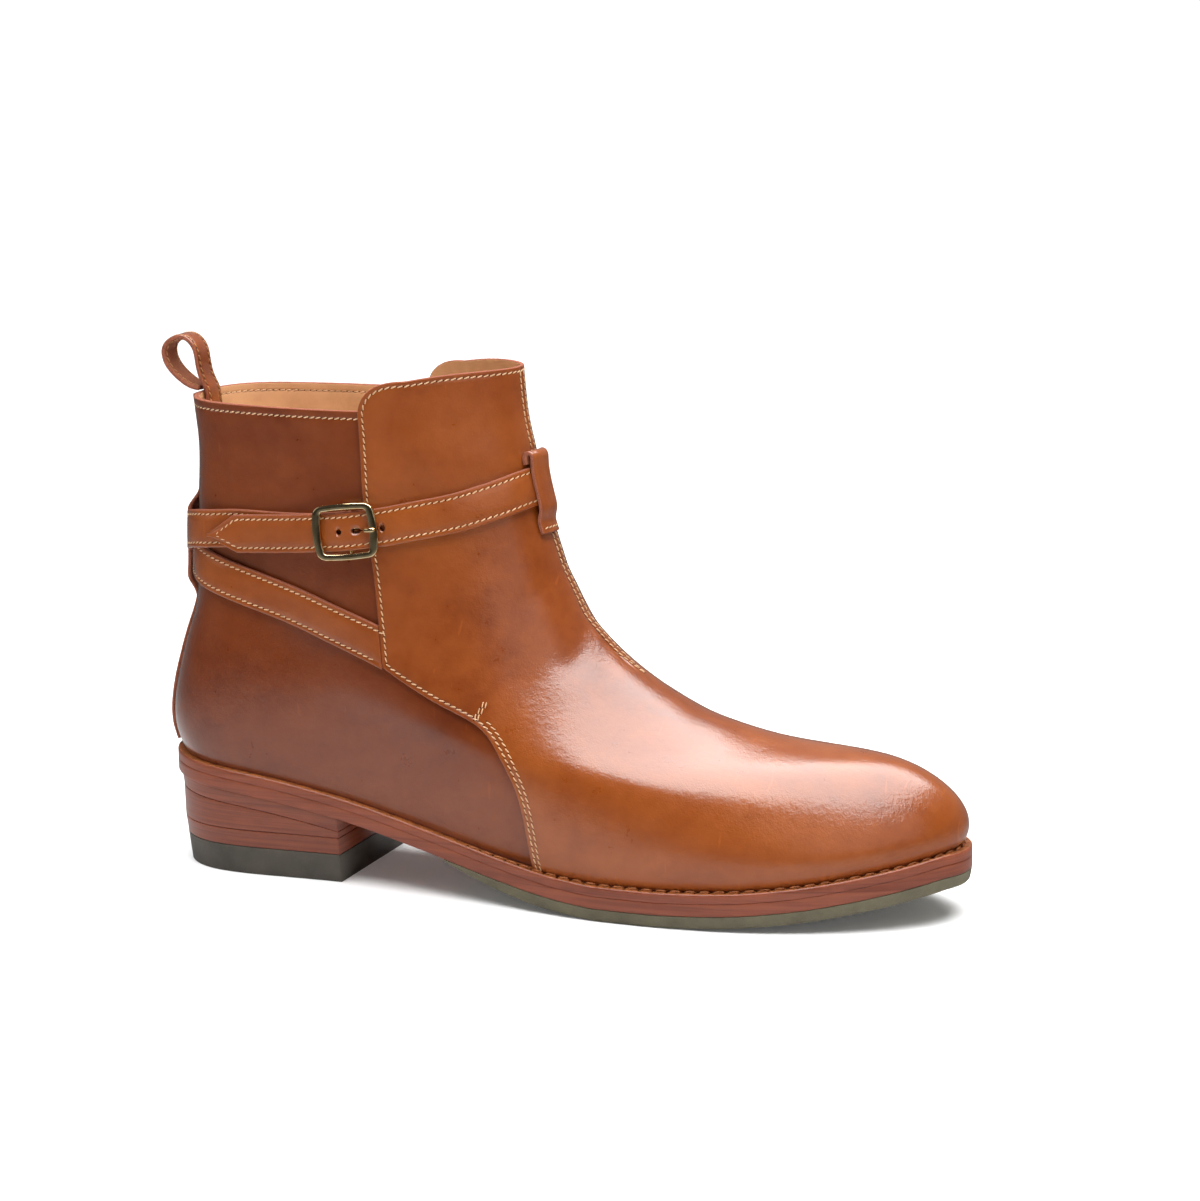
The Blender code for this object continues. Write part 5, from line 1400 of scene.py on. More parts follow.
def make_buckle():
    """Frame with softly bowed sides, the bar behind it and the prong that turns on the bar."""
    axes = buckle_axes()
    half_u, half_v = (BUCKLE_LENGTH - BUCKLE_BAR) / 2, (BUCKLE_HEIGHT - BUCKLE_RAIL) / 2
    centres, normals, widths = [], [], []
    for quarter, (su, sv) in enumerate(((1, -1), (1, 1), (-1, 1), (-1, -1))):
        for i in range(13):
            turn = math.radians(-90 + 90 * quarter + 7.5 * i)
            c, t = math.cos(turn), math.sin(turn)
            centres.append((su * (half_u - BUCKLE_CORNER) + BUCKLE_CORNER * c,
                            sv * (half_v - BUCKLE_CORNER) + BUCKLE_CORNER * t, BUCKLE_LIFT))
            normals.append((c, t, 0.0))
            widths.append((BUCKLE_RAIL + (BUCKLE_BAR - BUCKLE_RAIL) * c * c) / 2)
        upright = quarter in (0, 2)
        for i in range(1, 12):
            share = i / 6 - 1
            bow = 1 - share * share
            if upright:
                centres.append((su * (half_u + BUCKLE_BOW * bow), -su * -share * (half_v - BUCKLE_CORNER),
                                BUCKLE_LIFT))
                normals.append((su, 0.0, 0.0))
                widths.append(BUCKLE_BAR / 2)
            else:
                centres.append((-sv * share * (half_u - BUCKLE_CORNER), sv * (half_v + BUCKLE_BOW / 2 * bow),
                                BUCKLE_LIFT))
                normals.append((0.0, sv, 0.0))
                widths.append(BUCKLE_RAIL / 2)
    rows = wire(axes, centres, normals, np.array(widths), BUCKLE_DEPTH / 2, True)
    add_piece("buckle_frame_brass", closed_tube("buckle_frame", rows, ring=True), [polished_brass()],
              ["buckle_frame"])
    low, high, side = CENTRE_BAR_LIFT, BUCKLE_LIFT, half_v + 0.0001
    line = rounded_path([(0, -side, high), (0, -side, low + 0.0012), (0, -side + 0.0006, low + 0.0002),
                         (0, -side + 0.0018, low), (0, 0, low), (0, side - 0.0018, low),
                         (0, side - 0.0006, low + 0.0002), (0, side, low + 0.0012), (0, side, high)], 4)
    bar = wire(axes, line, np.tile((1.0, 0.0, 0.0), (len(line), 1)), CENTRE_BAR_RADIUS, CENTRE_BAR_RADIUS,
               False, 12, 1.0)
    add_piece("buckle_bar_brass", closed_tube("buckle_bar", bar), [polished_brass()],
              ["buckle_frame"])
    ring_radius = PRONG_RING * FOLD_RADIUS
    turns = np.radians(np.arange(330.0, 89.0, -10.0))
    centres = [(ring_radius * math.cos(t), 0.0, CENTRE_BAR_LIFT + ring_radius * math.sin(t)) for t in turns]
    arm = rounded_path([(u * BUCKLE_LENGTH / 2, 0.0, w * BUCKLE_LENGTH / 2) for u, w in PRONG_LINE], 5)
    line = np.array(centres + [tuple(p) for p in arm])
    place = np.linspace(0, 1, len(line))
    taper = np.clip((1.0 - place) / 0.05, 0.35, 1.0) ** 0.5
    rows = wire(axes, line, np.tile((0.0, 1.0, 0.0), (len(line), 1)), PRONG_WIDTH / 2 * taper,
                PRONG_THICKNESS / 2 * taper, False, 14, 0.85)
    add_piece("buckle_prong_brass", closed_tube("buckle_prong", rows), [polished_brass()],
              ["buckle_prong"])


def add_strip(name, node, points, section, thickness):
    """Leather strip through rows of its section's points."""
    finish = np.tile(section_finish(section, thickness), len(points) - 1)
    mesh = closed_tube(name, points, np.concatenate([finish, [1, 1]]))
    add_piece(name, mesh, [waxed_leather(), raw_edge(), flesh_side()], [node])


def tunnel_bulge(height):
    """Extra lift of the back stay where the two straps pass under it."""
    away = np.abs(np.asarray(height) - shaft_height(TUNNEL_MIDDLE)) / (TUNNEL_HEIGHT / 2)
    t = np.clip((1.0 - away) / 0.42, 0, 1)
    return (2 * STRAP_THICKNESS + 2 * WRAP_CLEARANCE) * t * t * (3 - 2 * t)


def stay_ends():
    """Heights of the back stay's foot and top."""
    return HEEL_SEAT_HEIGHT + STAY_FOOT, float(shaft_height(1.0)) - CLEARANCE


def stay_point(height, across, out):
    """Point of the back stay's inner face by height and share of its width, out by a distance."""
    seat, top = stay_ends()
    share = (height - seat) / (top - seat)
    half = (STAY_WIDTH_BOTTOM + (STAY_WIDTH_TOP - STAY_WIDTH_BOTTOM) * np.clip(share * 1.9, 0, 1)) / 2
    angle = angle_from_y(half * across, height, 0.0)
    return at_height(angle, height, WRAP_CLEARANCE + tunnel_bulge(height) + out)


def make_back_stay():
    """Strip up the heel, raised over the crossing straps."""
    size = sizes()
    heights = np.linspace(*stay_ends(), 150)
    half = STAY_WIDTH_TOP / 2
    section = strip_section(half, STAY_THICKNESS, 0.0004, size.stitch_groove, 0.0014)
    across = section[None, :, 0] / half
    out = section[None, :, 1] + STAY_THICKNESS / 2
    level = np.broadcast_to(heights[:, None], (len(heights), len(section)))
    points = stay_point(level, np.broadcast_to(across, level.shape), np.broadcast_to(out, level.shape))
    add_strip("back_stay_leather", "back_stay", points, section, STAY_THICKNESS)


def loop_path(steps):
    """Middle line of the pull loop in side view, and its normals."""
    back = last_point(0.0, float(COLLAR_RING))
    line = [(float(back[0]) + x * LOOP_LENGTH, float(shaft_height(1.0)) + 2 * CLEARANCE + z * LOOP_LENGTH)
            for x, z in LOOP_LINE]
    path = rounded_path(line, steps)
    tangent = unit(np.gradient(path, axis=0))
    return path, np.column_stack([-tangent[:, 1], tangent[:, 0]])


def loop_point(path, normal, across, out):
    """Point of the pull loop, across it and out from its middle."""
    return np.stack([path[..., 0] + normal[..., 0] * out, across, path[..., 1] + normal[..., 1] * out],
                    axis=-1)


def make_pull_loop():
    """Bent strip at the top of the back."""
    size = sizes()
    path, normal = loop_path(10)
    normal = -normal
    section = strip_section(LOOP_WIDTH / 2, LOOP_THICKNESS, 0.00045, size.stitch_groove, 0.0015, 0.00006)
    rows = [loop_point(np.broadcast_to(p, (len(section), 2)), np.broadcast_to(n, (len(section), 2)),
                       section[:, 0], section[:, 1]) for p, n in zip(path, normal)]
    add_strip("pull_loop_leather", "pull_loop", rows, section, LOOP_THICKNESS)


def keeper_path(steps):
    """Height and lift of the keeper's middle line and their normals."""
    middle, reach = float(shaft_height(KEEPER_MIDDLE)), STRAP_WIDTH / 2
    low = 2 * WRAP_CLEARANCE + VAMP_THICKNESS + KEEPER_THICKNESS / 2
    over = low + STRAP_THICKNESS + WRAP_CLEARANCE
    roll = KEEPER_ROLL
    top, foot = middle + reach, middle - reach
    path = rounded_path([
        (top + 0.6 * roll, low), (top + 2.2 * roll, low), (top + 3.7 * roll, low + 0.35 * roll),
        (top + 4.6 * roll, low + 1.3 * roll), (top + 4.3 * roll, low + 2.5 * roll),
        (top + 3.0 * roll, low + 3.1 * roll), (top + 1.0 * roll, low + 2.75 * roll), (top - 3.5 * roll, over),
        (foot + 1.8 * roll, over), (foot - 1.9 * roll, over - 0.1 * roll),
        (foot - 4.0 * roll, low + 1.1 * roll),
        (foot - 5.8 * roll, low + 0.25 * roll), (foot - 7.4 * roll, low + 0.15 * roll),
        (foot - 10.6 * roll, low + 0.3 * roll),
    ], steps)
    for _ in range(KEEPER_EASE):
        path[1:-1] = (path[:-2] + 2 * path[1:-1] + path[2:]) / 4
    tangent = unit(np.gradient(path, axis=0))
    return path, np.column_stack([tangent[:, 1], -tangent[:, 0]])


def keeper_point(path, normal, across, out):
    """Point of the keeper, across the front of the boot."""
    height = path[..., 0] + normal[..., 0] * out
    lift = path[..., 1] + normal[..., 1] * out
    narrow = SHAFT_FRONT_RADIUS / (SHAFT_FRONT_RADIUS + lift)
    return at_height(angle_from_y((across + KEEPER_SHIFT) * narrow, height, 180.0), height, lift)


def make_keeper():
    """Bent loop on the front seam that holds the long strap."""
    path, normal = keeper_path(7)
    size = sizes()
    section = strip_section(KEEPER_WIDTH / 2 * KEEPER_TRIM, KEEPER_THICKNESS, 0.0004,
                            size.stitch_groove * 0.5, 0.0016)
    count, sides = len(path), len(section)
    sign = 1.0 if normal[count // 2, 1] > 0 else -1.0
    wide = np.broadcast_to(section[None, :, 0], (count, sides))
    out = np.broadcast_to(section[None, :, 1] * sign, (count, sides))
    points = keeper_point(np.broadcast_to(path[:, None], (count, sides, 2)),
                          np.broadcast_to(normal[:, None], (count, sides, 2)), wide, out)
    add_strip("keeper_leather", "keeper", points, section, KEEPER_THICKNESS)


# Bottom: welt, soles, heel and insole


def welt_margin(angles):
    """How far the welt stands out from the feather line."""
    share = ring_share(angles)
    rows = ((0.0, WELT_MARGIN_HEEL), (0.22, WELT_MARGIN_HEEL), (0.42, WELT_MARGIN_WAIST),
            (0.62, WELT_MARGIN_FOREFOOT), (1.0, WELT_MARGIN_FOREFOOT))
    return smooth(rows, share)


def outline(angles, margin):
    """Plan of the feather line moved out by a margin."""
    level = np.zeros(len(angles))
    return last_point(angles, level)[:, :2] + last_normal(angles, level)[:, :2] * np.broadcast_to(
        margin, (len(angles),))[:, None]


def even_angles(count):
    """Angles round the feather line at even distances, symmetrical from the heel."""
    fine = np.linspace(0, 180, 1801)
    points = outline(fine, 0.0)
    reach = reach_along(points)
    half = np.interp(np.linspace(0, reach[-1], count // 2 + 1), reach, fine)
    return np.concatenate([half, 360 - half[1:-1][::-1]])


def end_strips(base, near, far):
    """Strips from side to side between two halves of a loop, the last one a triangle if a point is left."""
    strips = []
    while far - 1 > near + 1:
        strips.append([base + near, base + near + 1, base + far - 1, base + far])
        near, far = near + 1, far - 1
    if far - 1 == near + 1:
        strips.append([base + near, base + near + 1, base + far])
    return strips


def slab(name, loops, finish_top, finish_side, finish_bottom):
    """Solid through closed loops of points from top to bottom. Each loop starts at the back and is
    symmetrical, so its ends are filled by strips from side to side."""
    loops = np.asarray(loops, float)
    rows, count = loops.shape[:2]
    faces = grid_faces(rows, count, True)[:, ::-1].tolist()
    finish = [finish_side] * len(faces)
    for base, flip, look in ((0, False, finish_top), ((rows - 1) * count, True, finish_bottom)):
        made = [[base, base + 1, base + count - 1]] + end_strips(base, 1, count - 1)
        faces += [face[::-1] if flip else face for face in made]
        finish += [look] * len(made)
    return make_mesh(name, loops, faces, finish)


def rounded_levels(radius):
    """Inset and drop of the rows that round an edge, as shares of its radius."""
    return [(radius * (1 - math.sin(math.radians(t))), radius * (1 - math.cos(math.radians(t))))
            for t in (0, 30, 60, 90)]


def inset_loop(loop, distance):
    """A closed plan drawn in by a distance."""
    before, after = loop - np.roll(loop, 1, axis=0), np.roll(loop, -1, axis=0) - loop
    normals = []
    for run in (before, after):
        run = run / np.maximum(np.linalg.norm(run, axis=1, keepdims=True), 1e-12)
        normals.append(np.column_stack([run[:, 1], -run[:, 0]]))
    mean = unit(normals[0] + normals[1])
    lean = np.clip((mean * normals[0]).sum(1), 0.5, 1.0)
    return loop - mean * (distance / lean)[:, None]


def outsole_bottom(x):
    """Height of the outsole's bottom face at x."""
    return seat_height(x) - WELT_THICKNESS - SOLE_CLEARANCE - OUTSOLE_THICKNESS


def plate(name, upper_loop, lower_loop, top, bottom, radius, looks, middle_rows=3):
    """A layer of the sole between two plans and two heights, with rounded edges."""
    loops = []
    for inset, drop in rounded_levels(radius):
        edge = inset_loop(upper_loop, inset)
        loops.append(np.column_stack([edge, top(edge[:, 0]) - drop]))
    for inset, drop in rounded_levels(radius)[::-1]:
        edge = inset_loop(lower_loop, inset)
        loops.append(np.column_stack([edge, bottom(edge[:, 0]) + drop]))
    upper, lower = loops[3], loops[4]
    between = [upper + (lower - upper) * k / (middle_rows + 1) for k in range(1, middle_rows + 1)]
    return slab(name, loops[:4] + between + loops[4:], *looks)


def make_welt():
    """Welt round the whole boot: crimped and sewn along the forefoot, plain along waist and heel."""
    size = sizes()
    angles = even_angles(2000)
    margin = welt_margin(angles)
    outer, feather = outline(angles, margin), outline(angles, 0.0)
    inner = outline(angles, -WELT_SEAT)
    reach = reach_along(outer)
    share = ring_share(angles)
    sewn = np.clip((share - 0.40) / 0.05, 0, 1)
    beat = np.cos(2 * math.pi * reach / size.welt_pitch)
    pits = np.exp((beat - 1) * 9.0)
    rows = []
    top = seat_height(outer[:, 0])
    radius = 0.0007
    spots = ((0.03, 0.0), (0.18, 0.4), (0.36, 0.9), (0.50, 1.0), (0.64, 0.9), (0.80, 0.5))
    rows.append(np.column_stack([inner, seat_height(inner[:, 0])]))
    for place, deep in spots:
        edge = feather + (outer - feather) * place
        level = seat_height(edge[:, 0]) - sewn * deep * (0.00055 * pits) - 0.00004
        rows.append(np.column_stack([edge, level]))
    wave = sewn * 0.00012 * pits
    outward = (outer - feather) / np.maximum(margin, 1e-6)[:, None]
    for inset, drop in rounded_levels(radius):
        edge = inset_loop(outer, inset) - outward * wave[:, None]
        rows.append(np.column_stack([edge, top - drop]))
    for level in (0.35, 0.7, 1.0):
        rows.append(np.column_stack([outer, top - radius - (WELT_THICKNESS - radius) * level]))
    rows.append(np.column_stack([inner, seat_height(inner[:, 0]) - WELT_THICKNESS]))
    rows = np.array(rows)
    count = rows.shape[1]
    finish = np.zeros((len(rows), count))
    finish[:len(spots) + 2] = 1
    faces = grid_faces(len(rows), count, True, True)[:, [1, 0, 3, 2]]
    mesh = make_mesh("welt_leather", rows, faces, finish.reshape(-1), 40)
    add_piece("welt_leather", mesh, [sole_edge_leather("welt_edge", 700.0), welt_top()],
              ["welt"])
    sewn_part = (share > 0.43)
    line_xy = feather + (outer - feather) * 0.50
    line = np.column_stack([line_xy, seat_height(line_xy[:, 0]) + 0.00010])[sewn_part]
    normals = np.tile((0.0, 0.0, 1.0), (len(line), 1))
    thread = waxed_thread("welt_thread", tinted(colours().sole_edge, 1.9, 2.7, 1.9))
    stitches("welt_stitches", [(line, normals)], size.welt_pitch, WELT_THREAD, thread,
             slant=0.10, length=0.74, rise=0.2)


def welt_top():
    """Top of the welt: orange-brown leather, darker in random patches."""
    base = tinted(colours().sole_edge, 1.65, 2.3, 1.5)
    stops = ((0.34, (0.4, 0.34, 0.32)), (0.50, (1.0,)), (0.70, (1.4,)))
    return grained("welt_top", base, (700.0, 5.0, 0.65), stops, (0.38, 0.6), (0.00022, 0.8),
                   Coat_Weight=0.15, Coat_Roughness=0.3)


def make_soles():
    """Outsole along the whole boot and the rubber half sole under the forefoot."""
    angles = even_angles(480)
    margin = welt_margin(angles)
    edge = outline(angles, margin)
    look = sole_edge_leather("sole_edge", 700.0)
    mesh = plate("outsole_leather", edge, edge, lambda x: outsole_bottom(x) + OUTSOLE_THICKNESS + 0.0004,
                 outsole_bottom, 0.0004, (0, 0, 1))
    add_piece("outsole_leather", mesh, [look, sole_bottom()], ["outsole"])

    slim = outline(angles, margin - 0.0008)
    rear_x = HALF_SOLE_REAR - HEEL_LENGTH / 2

    def trimmed(loop):
        halves = []
        for half in loop_halves(loop):
            y = np.interp(rear_x, half[:, 0], half[:, 1])
            halves.append(np.concatenate([[(rear_x, y)], half[half[:, 0] > rear_x]]))
        return np.concatenate([halves[0], halves[1][::-1][1:]])

    def half_bottom(x):
        share = np.clip((x - rear_x) / HALF_SOLE_TAPER, 0, 1)
        thickness = HALF_SOLE_THIN + (HALF_SOLE_THICKNESS - HALF_SOLE_THIN) * share * (2 - share)
        return outsole_bottom(x) - CLEARANCE - thickness

    upper, lower = trimmed(edge), trimmed(slim)
    loops = []
    for share, inset in ((0.0, 0.0003), (0.04, 0.0), (0.3, 0.0), (0.6, 0.0), (0.85, 0.0001), (0.97, 0.0005),
                         (1.0, 0.0012)):
        plan = inset_loop(upper + (lower - upper) * share, inset)
        plan[:, 0] = np.maximum(plan[:, 0], rear_x)
        top, low = outsole_bottom(plan[:, 0]) - 0.00005, half_bottom(plan[:, 0])
        loops.append(np.column_stack([plan, top + (low - top) * share]))
    mesh = sole_ring_mesh("half_sole_rubber", np.array(loops))
    look = rubber("half_sole_rubber", colours().half_sole, 0.0003, 0.72)
    add_piece("half_sole_rubber", mesh, [look], ["half_sole"])


def sole_ring_mesh(name, loops):
    """Solid of the half sole, whose loops run from the rear's outer side round to its inner side."""
    rows, count = loops.shape[:2]
    faces = grid_faces(rows, count, True)[:, ::-1].tolist()
    for base, flip in ((0, False), ((rows - 1) * count, True)):
        made = end_strips(base, 0, count - 1)
        faces += [face[::-1] if flip else face for face in made]
    return make_mesh(name, loops, faces, None, 50)


def sole_bottom():
    """Bottom face of the leather outsole: waxed bend leather, lightly worn."""
    finish, tree, shader = new_finish("sole_bottom", Coat_Weight=0.1, Coat_Roughness=0.3)
    if tree is None:
        return finish
    base = tinted(colours().sole_edge, 1.25, 1.6, 1.5)
    where = own_coordinates(tree)
    clouds = noise(tree, where, 45.0, 5.0, 0.6)
    fibres = noise(tree, where, 1100.0, 4.0, 0.6)
    colour = tones(tree, clouds, (0.35, tinted(base, 0.75)), (0.5, base), (0.7, tinted(base, 1.2)))
    plug(tree, shader, Base_Color=colour,
         Roughness=spread(tree, fibres, 0.3, 0.7, 0.4, 0.55),
         Normal=relief(tree, fibres, 0.00008, 0.7))
    return finish


def loop_halves(loop):
    """Outer and inner half of a closed plan, both from the heel to the toe."""
    count = len(loop) // 2
    return loop[:count + 1], np.concatenate([loop[:1], loop[:count - 1:-1]])


def heel_loop(height, angles):
    """Plan of the heel at a height, closed by the straight breast; it draws in towards the floor."""
    full = HEEL_SEAT_HEIGHT - WELT_THICKNESS - OUTSOLE_THICKNESS
    loop = outline(angles, welt_margin(angles) - HEEL_TAPER * np.clip(1 - height / full, 0, 1))
    breast = HEEL_LENGTH / 2
    halves = []
    for half in loop_halves(loop):
        places = np.interp(breast, half[:, 0], np.arange(len(half)))
        marks = np.linspace(0, places, 121)
        halves.append(np.column_stack([np.interp(marks, np.arange(len(half)), half[:, i]) for i in range(2)]))
    return np.concatenate([halves[0], halves[1][::-1][:-1]])


def make_heel():
    """Top lift under the outsole, a wedge, a bottom lift and the rubber top piece."""
    angles = even_angles(720)
    under = float(outsole_bottom(np.array(HEEL_LENGTH / 2))) - CLEARANCE
    floor = (TOP_PIECE_THICKNESS, TOP_PIECE_THICKNESS + CLEARANCE,
             TOP_PIECE_THICKNESS + CLEARANCE + BOTTOM_LIFT_THICKNESS)
    close = 0.00012

    def flat(level):
        return lambda x: np.full(np.shape(x), level)

    def below(drop):
        return lambda x: outsole_bottom(x) - CLEARANCE - drop

    lift_look = sole_edge_leather("heel_edge", 620.0)
    wedge_look = sole_edge_leather("heel_stack", 900.0, deepen=0.94)
    layers = (
        ("top_lift", under, under - TOP_LIFT_THICKNESS, below(-close), below(TOP_LIFT_THICKNESS), lift_look),
        ("heel_wedge", under - TOP_LIFT_THICKNESS - CLEARANCE, floor[2] + CLEARANCE,
         below(TOP_LIFT_THICKNESS + CLEARANCE - close), flat(floor[2] + CLEARANCE), wedge_look),
        ("bottom_lift", floor[2], floor[1], flat(floor[2] + close), flat(floor[1]), wedge_look),
        ("top_piece", floor[0], 0.0, flat(floor[0] + close), flat(0.0),
         rubber("top_piece_rubber", colours().top_piece, 0.0001, 0.55)),
    )
    for node, high, low, top, bottom, look in layers:
        mesh = plate(node + "_layer", heel_loop(high, angles), heel_loop(low, angles), top, bottom, 0.00022,
                     (0, 0, 0), 4)
        add_piece(node + "_layer", mesh, [look], [node])


def make_insole():
    """Insole on the outsole, inside the upper."""
    angles = even_angles(360)
    edge = outline(angles, -INSOLE_INSET)
    mesh = plate("insole_leather", edge, edge,
                 lambda x: outsole_bottom(x) + OUTSOLE_THICKNESS + CLEARANCE + INSOLE_THICKNESS,
                 lambda x: outsole_bottom(x) + OUTSOLE_THICKNESS + CLEARANCE, 0.0006, (0, 0, 0), 1)
    add_piece("insole_leather", mesh, [lining_leather()], ["insole"])


# Seams


def skin_line(angle, ring, lift):
    """Points and normals of a line on the upper, at a lift from its face."""
    points = skin(angle, ring, np.full(len(angle), lift))
    points[:, 2] += CLEARANCE
    return points, last_normal(angle, ring)


def make_seams():
    """Thread of every seam on the upper, straps, stay, keeper and loop."""
    size = sizes()
    thread = waxed_thread("seam_thread", colours().thread)
    pitch, width = size.stitch_pitch, size.thread_width
    sunk = -size.stitch_groove + SUNK_LIFT

    angles = np.arange(-COLLAR_SEAM_END, COLLAR_SEAM_END + 0.1, 1.0)
    rings = ring_at(angles, collar_height(angles) - size.collar_inset)
    outside = skin_line(angles, rings, sunk)
    full_turn = np.arange(-180.0, 180.1, 1.0)
    rings = ring_at(full_turn, collar_height(full_turn) - size.collar_inset)
    inside, normals = skin_line(full_turn, rings, -UPPER_WALL - sunk)
    stitches("collar_stitches", [outside, (inside, -normals)], pitch, width, thread)

    surface = WRAP_CLEARANCE + VAMP_THICKNESS
    angle, ring = border_line(size.seam_inset)
    rows = [skin_line(angle, ring, surface + sunk)]
    angle, ring = border_line(size.seam_inset + SECOND_ROW_GAP)
    points = last_point(angle, ring)
    low = (points[:, 2] < SECOND_ROW_TOP) & (points[:, 0] > SECOND_ROW_BACK)
    for mask in (low & (angle > 180), low & (angle < 180)):
        rows.append(skin_line(angle[mask], ring[mask], surface + 0.00008))
    turn, level = np.linspace(*TACK_ENDS, 9).T
    for tack in (turn, 360 - turn):
        for shift in (-0.0006, 0.0006):
            place = walk(tack, ring_at(tack, level), np.tile((TACK_SHIFT + shift, 0.0, 0.0), (9, 1)))
            rows.append(skin_line(*place, surface + THREAD_LIFT))
    stitches("wing_stitches", rows, pitch, width, thread)

    foot = front_seam_foot()
    top = float(ring_at(180.0, float(shaft_height(FRONT_SEAM_TOP))))
    rings = np.linspace(foot, top, 160)
    rows = []
    for side in (-1, 1):
        spread_out = 0.0013 * np.clip((rings - foot) / 0.35, 0.25, 1.0)
        move = np.stack([np.zeros(160), side * spread_out, np.zeros(160)], axis=1)
        rows.append(skin_line(*walk(np.full(len(rings), 180.0), rings, move), surface + THREAD_LIFT))
    stitches("front_seam_stitches", rows, pitch, width, thread, 0.22)

    make_strap_seams(thread, pitch, width)

    rows = []
    heights = np.linspace(HEEL_SEAT_HEIGHT + 0.004, float(shaft_height(1.0)) - 0.0012, 150)
    for side in (-1, 1):
        share = side * (1 - 0.0014 / (STAY_WIDTH_TOP / 2)) * np.ones(len(heights))
        level = np.full(len(heights), STAY_THICKNESS - size.stitch_groove + THREAD_LIFT)
        line = stay_point(heights, share, level)
        above = stay_point(heights, share, np.full(len(heights), STAY_THICKNESS + 0.001))
        rows.append((line, above - line))
    stitches("stay_stitches", rows, pitch, width, thread)

    path, normal = loop_path(8)
    rows = []
    for side in (-1, 1):
        for face in (-1, 1):
            across = np.full(len(path), side * (LOOP_WIDTH / 2 - 0.0015))
            out = np.full(len(path), face * (LOOP_THICKNESS / 2 + 0.00002))
            line = loop_point(path, normal, across, out)
            away = np.column_stack([normal[:, 0] * face, np.zeros(len(path)), normal[:, 1] * face])
            rows.append((line[6:-2], away[6:-2]))
    brown = waxed_thread("loop_thread", tinted(colours().thread, 0.72, 0.58, 0.42))
    stitches("loop_stitches", rows, pitch, width * 0.9, brown)

    path, normal = keeper_path(7)
    sign = 1.0 if normal[len(path) // 2, 1] > 0 else -1.0
    rear = np.arange(len(path)) < len(path) // 2
    place = np.argmin(np.abs(path[:, 0] - (path[-1, 0] + 0.0018)) + 10 * rear)
    reach = KEEPER_WIDTH / 2 * KEEPER_TRIM - 0.0010
    across = np.linspace(-reach, reach, 12)
    line_path = np.broadcast_to(path[place], (12, 2))
    line_normal = np.broadcast_to(normal[place], (12, 2))
    line = keeper_point(line_path, line_normal, across, sign * np.full(12, KEEPER_THICKNESS / 2 + 0.00005))
    above = keeper_point(line_path, line_normal, across, sign * np.full(12, KEEPER_THICKNESS / 2 + 0.001))
    stitches("keeper_stitches", [(line, above - line)], pitch * 0.9, width, thread)


def make_strap_seams(thread, pitch, width):
    """Two rows of stitches along each strap, meeting at the point."""
    size = sizes()
    half, inset = STRAP_WIDTH / 2, size.seam_inset
    out = STRAP_THICKNESS / 2 - size.stitch_groove + THREAD_LIFT
    long_path = long_strap_path()
    end_angle = LONG_STRAP[0][0] - 3.0
    stop = float(np.interp(end_angle, long_path.angle, long_path.reach)) - 0.010
    tip = float(np.interp(LONG_STRAP[-1][0] + TIP_LENGTH_DEG, long_path.angle, long_path.reach))
    lean = math.hypot(tip, half) / half
    nose = inset * lean
    corner = nose + (half - inset) / half * tip
    reach = np.linspace(corner, stop, 260)
    rows = []
    along = np.concatenate([np.linspace(nose, corner, 14)[:-1], reach])
    for side in (-1, 1):
        off = side * (half - inset)
        across = np.concatenate([np.linspace(0.0, off, 14)[:-1], np.full(len(reach), off)])
        rows.append(long_path.stitch_line(along, across, out))
    path = buckle_strap_path()
    start = float(np.interp(BUCKLE_STRAP[0][0] + 3.0, path.angle[:150], path.reach[:150])) + 0.010
    fold_start = path.reach[-53 + 4]
    reach = np.linspace(start, fold_start, 230)
    for side in (-1, 1):
        rows.append(path.stitch_line(reach, np.full(len(reach), side * (half - inset)), out))
    stitches("strap_stitches", rows, pitch, width, thread)


# Stage


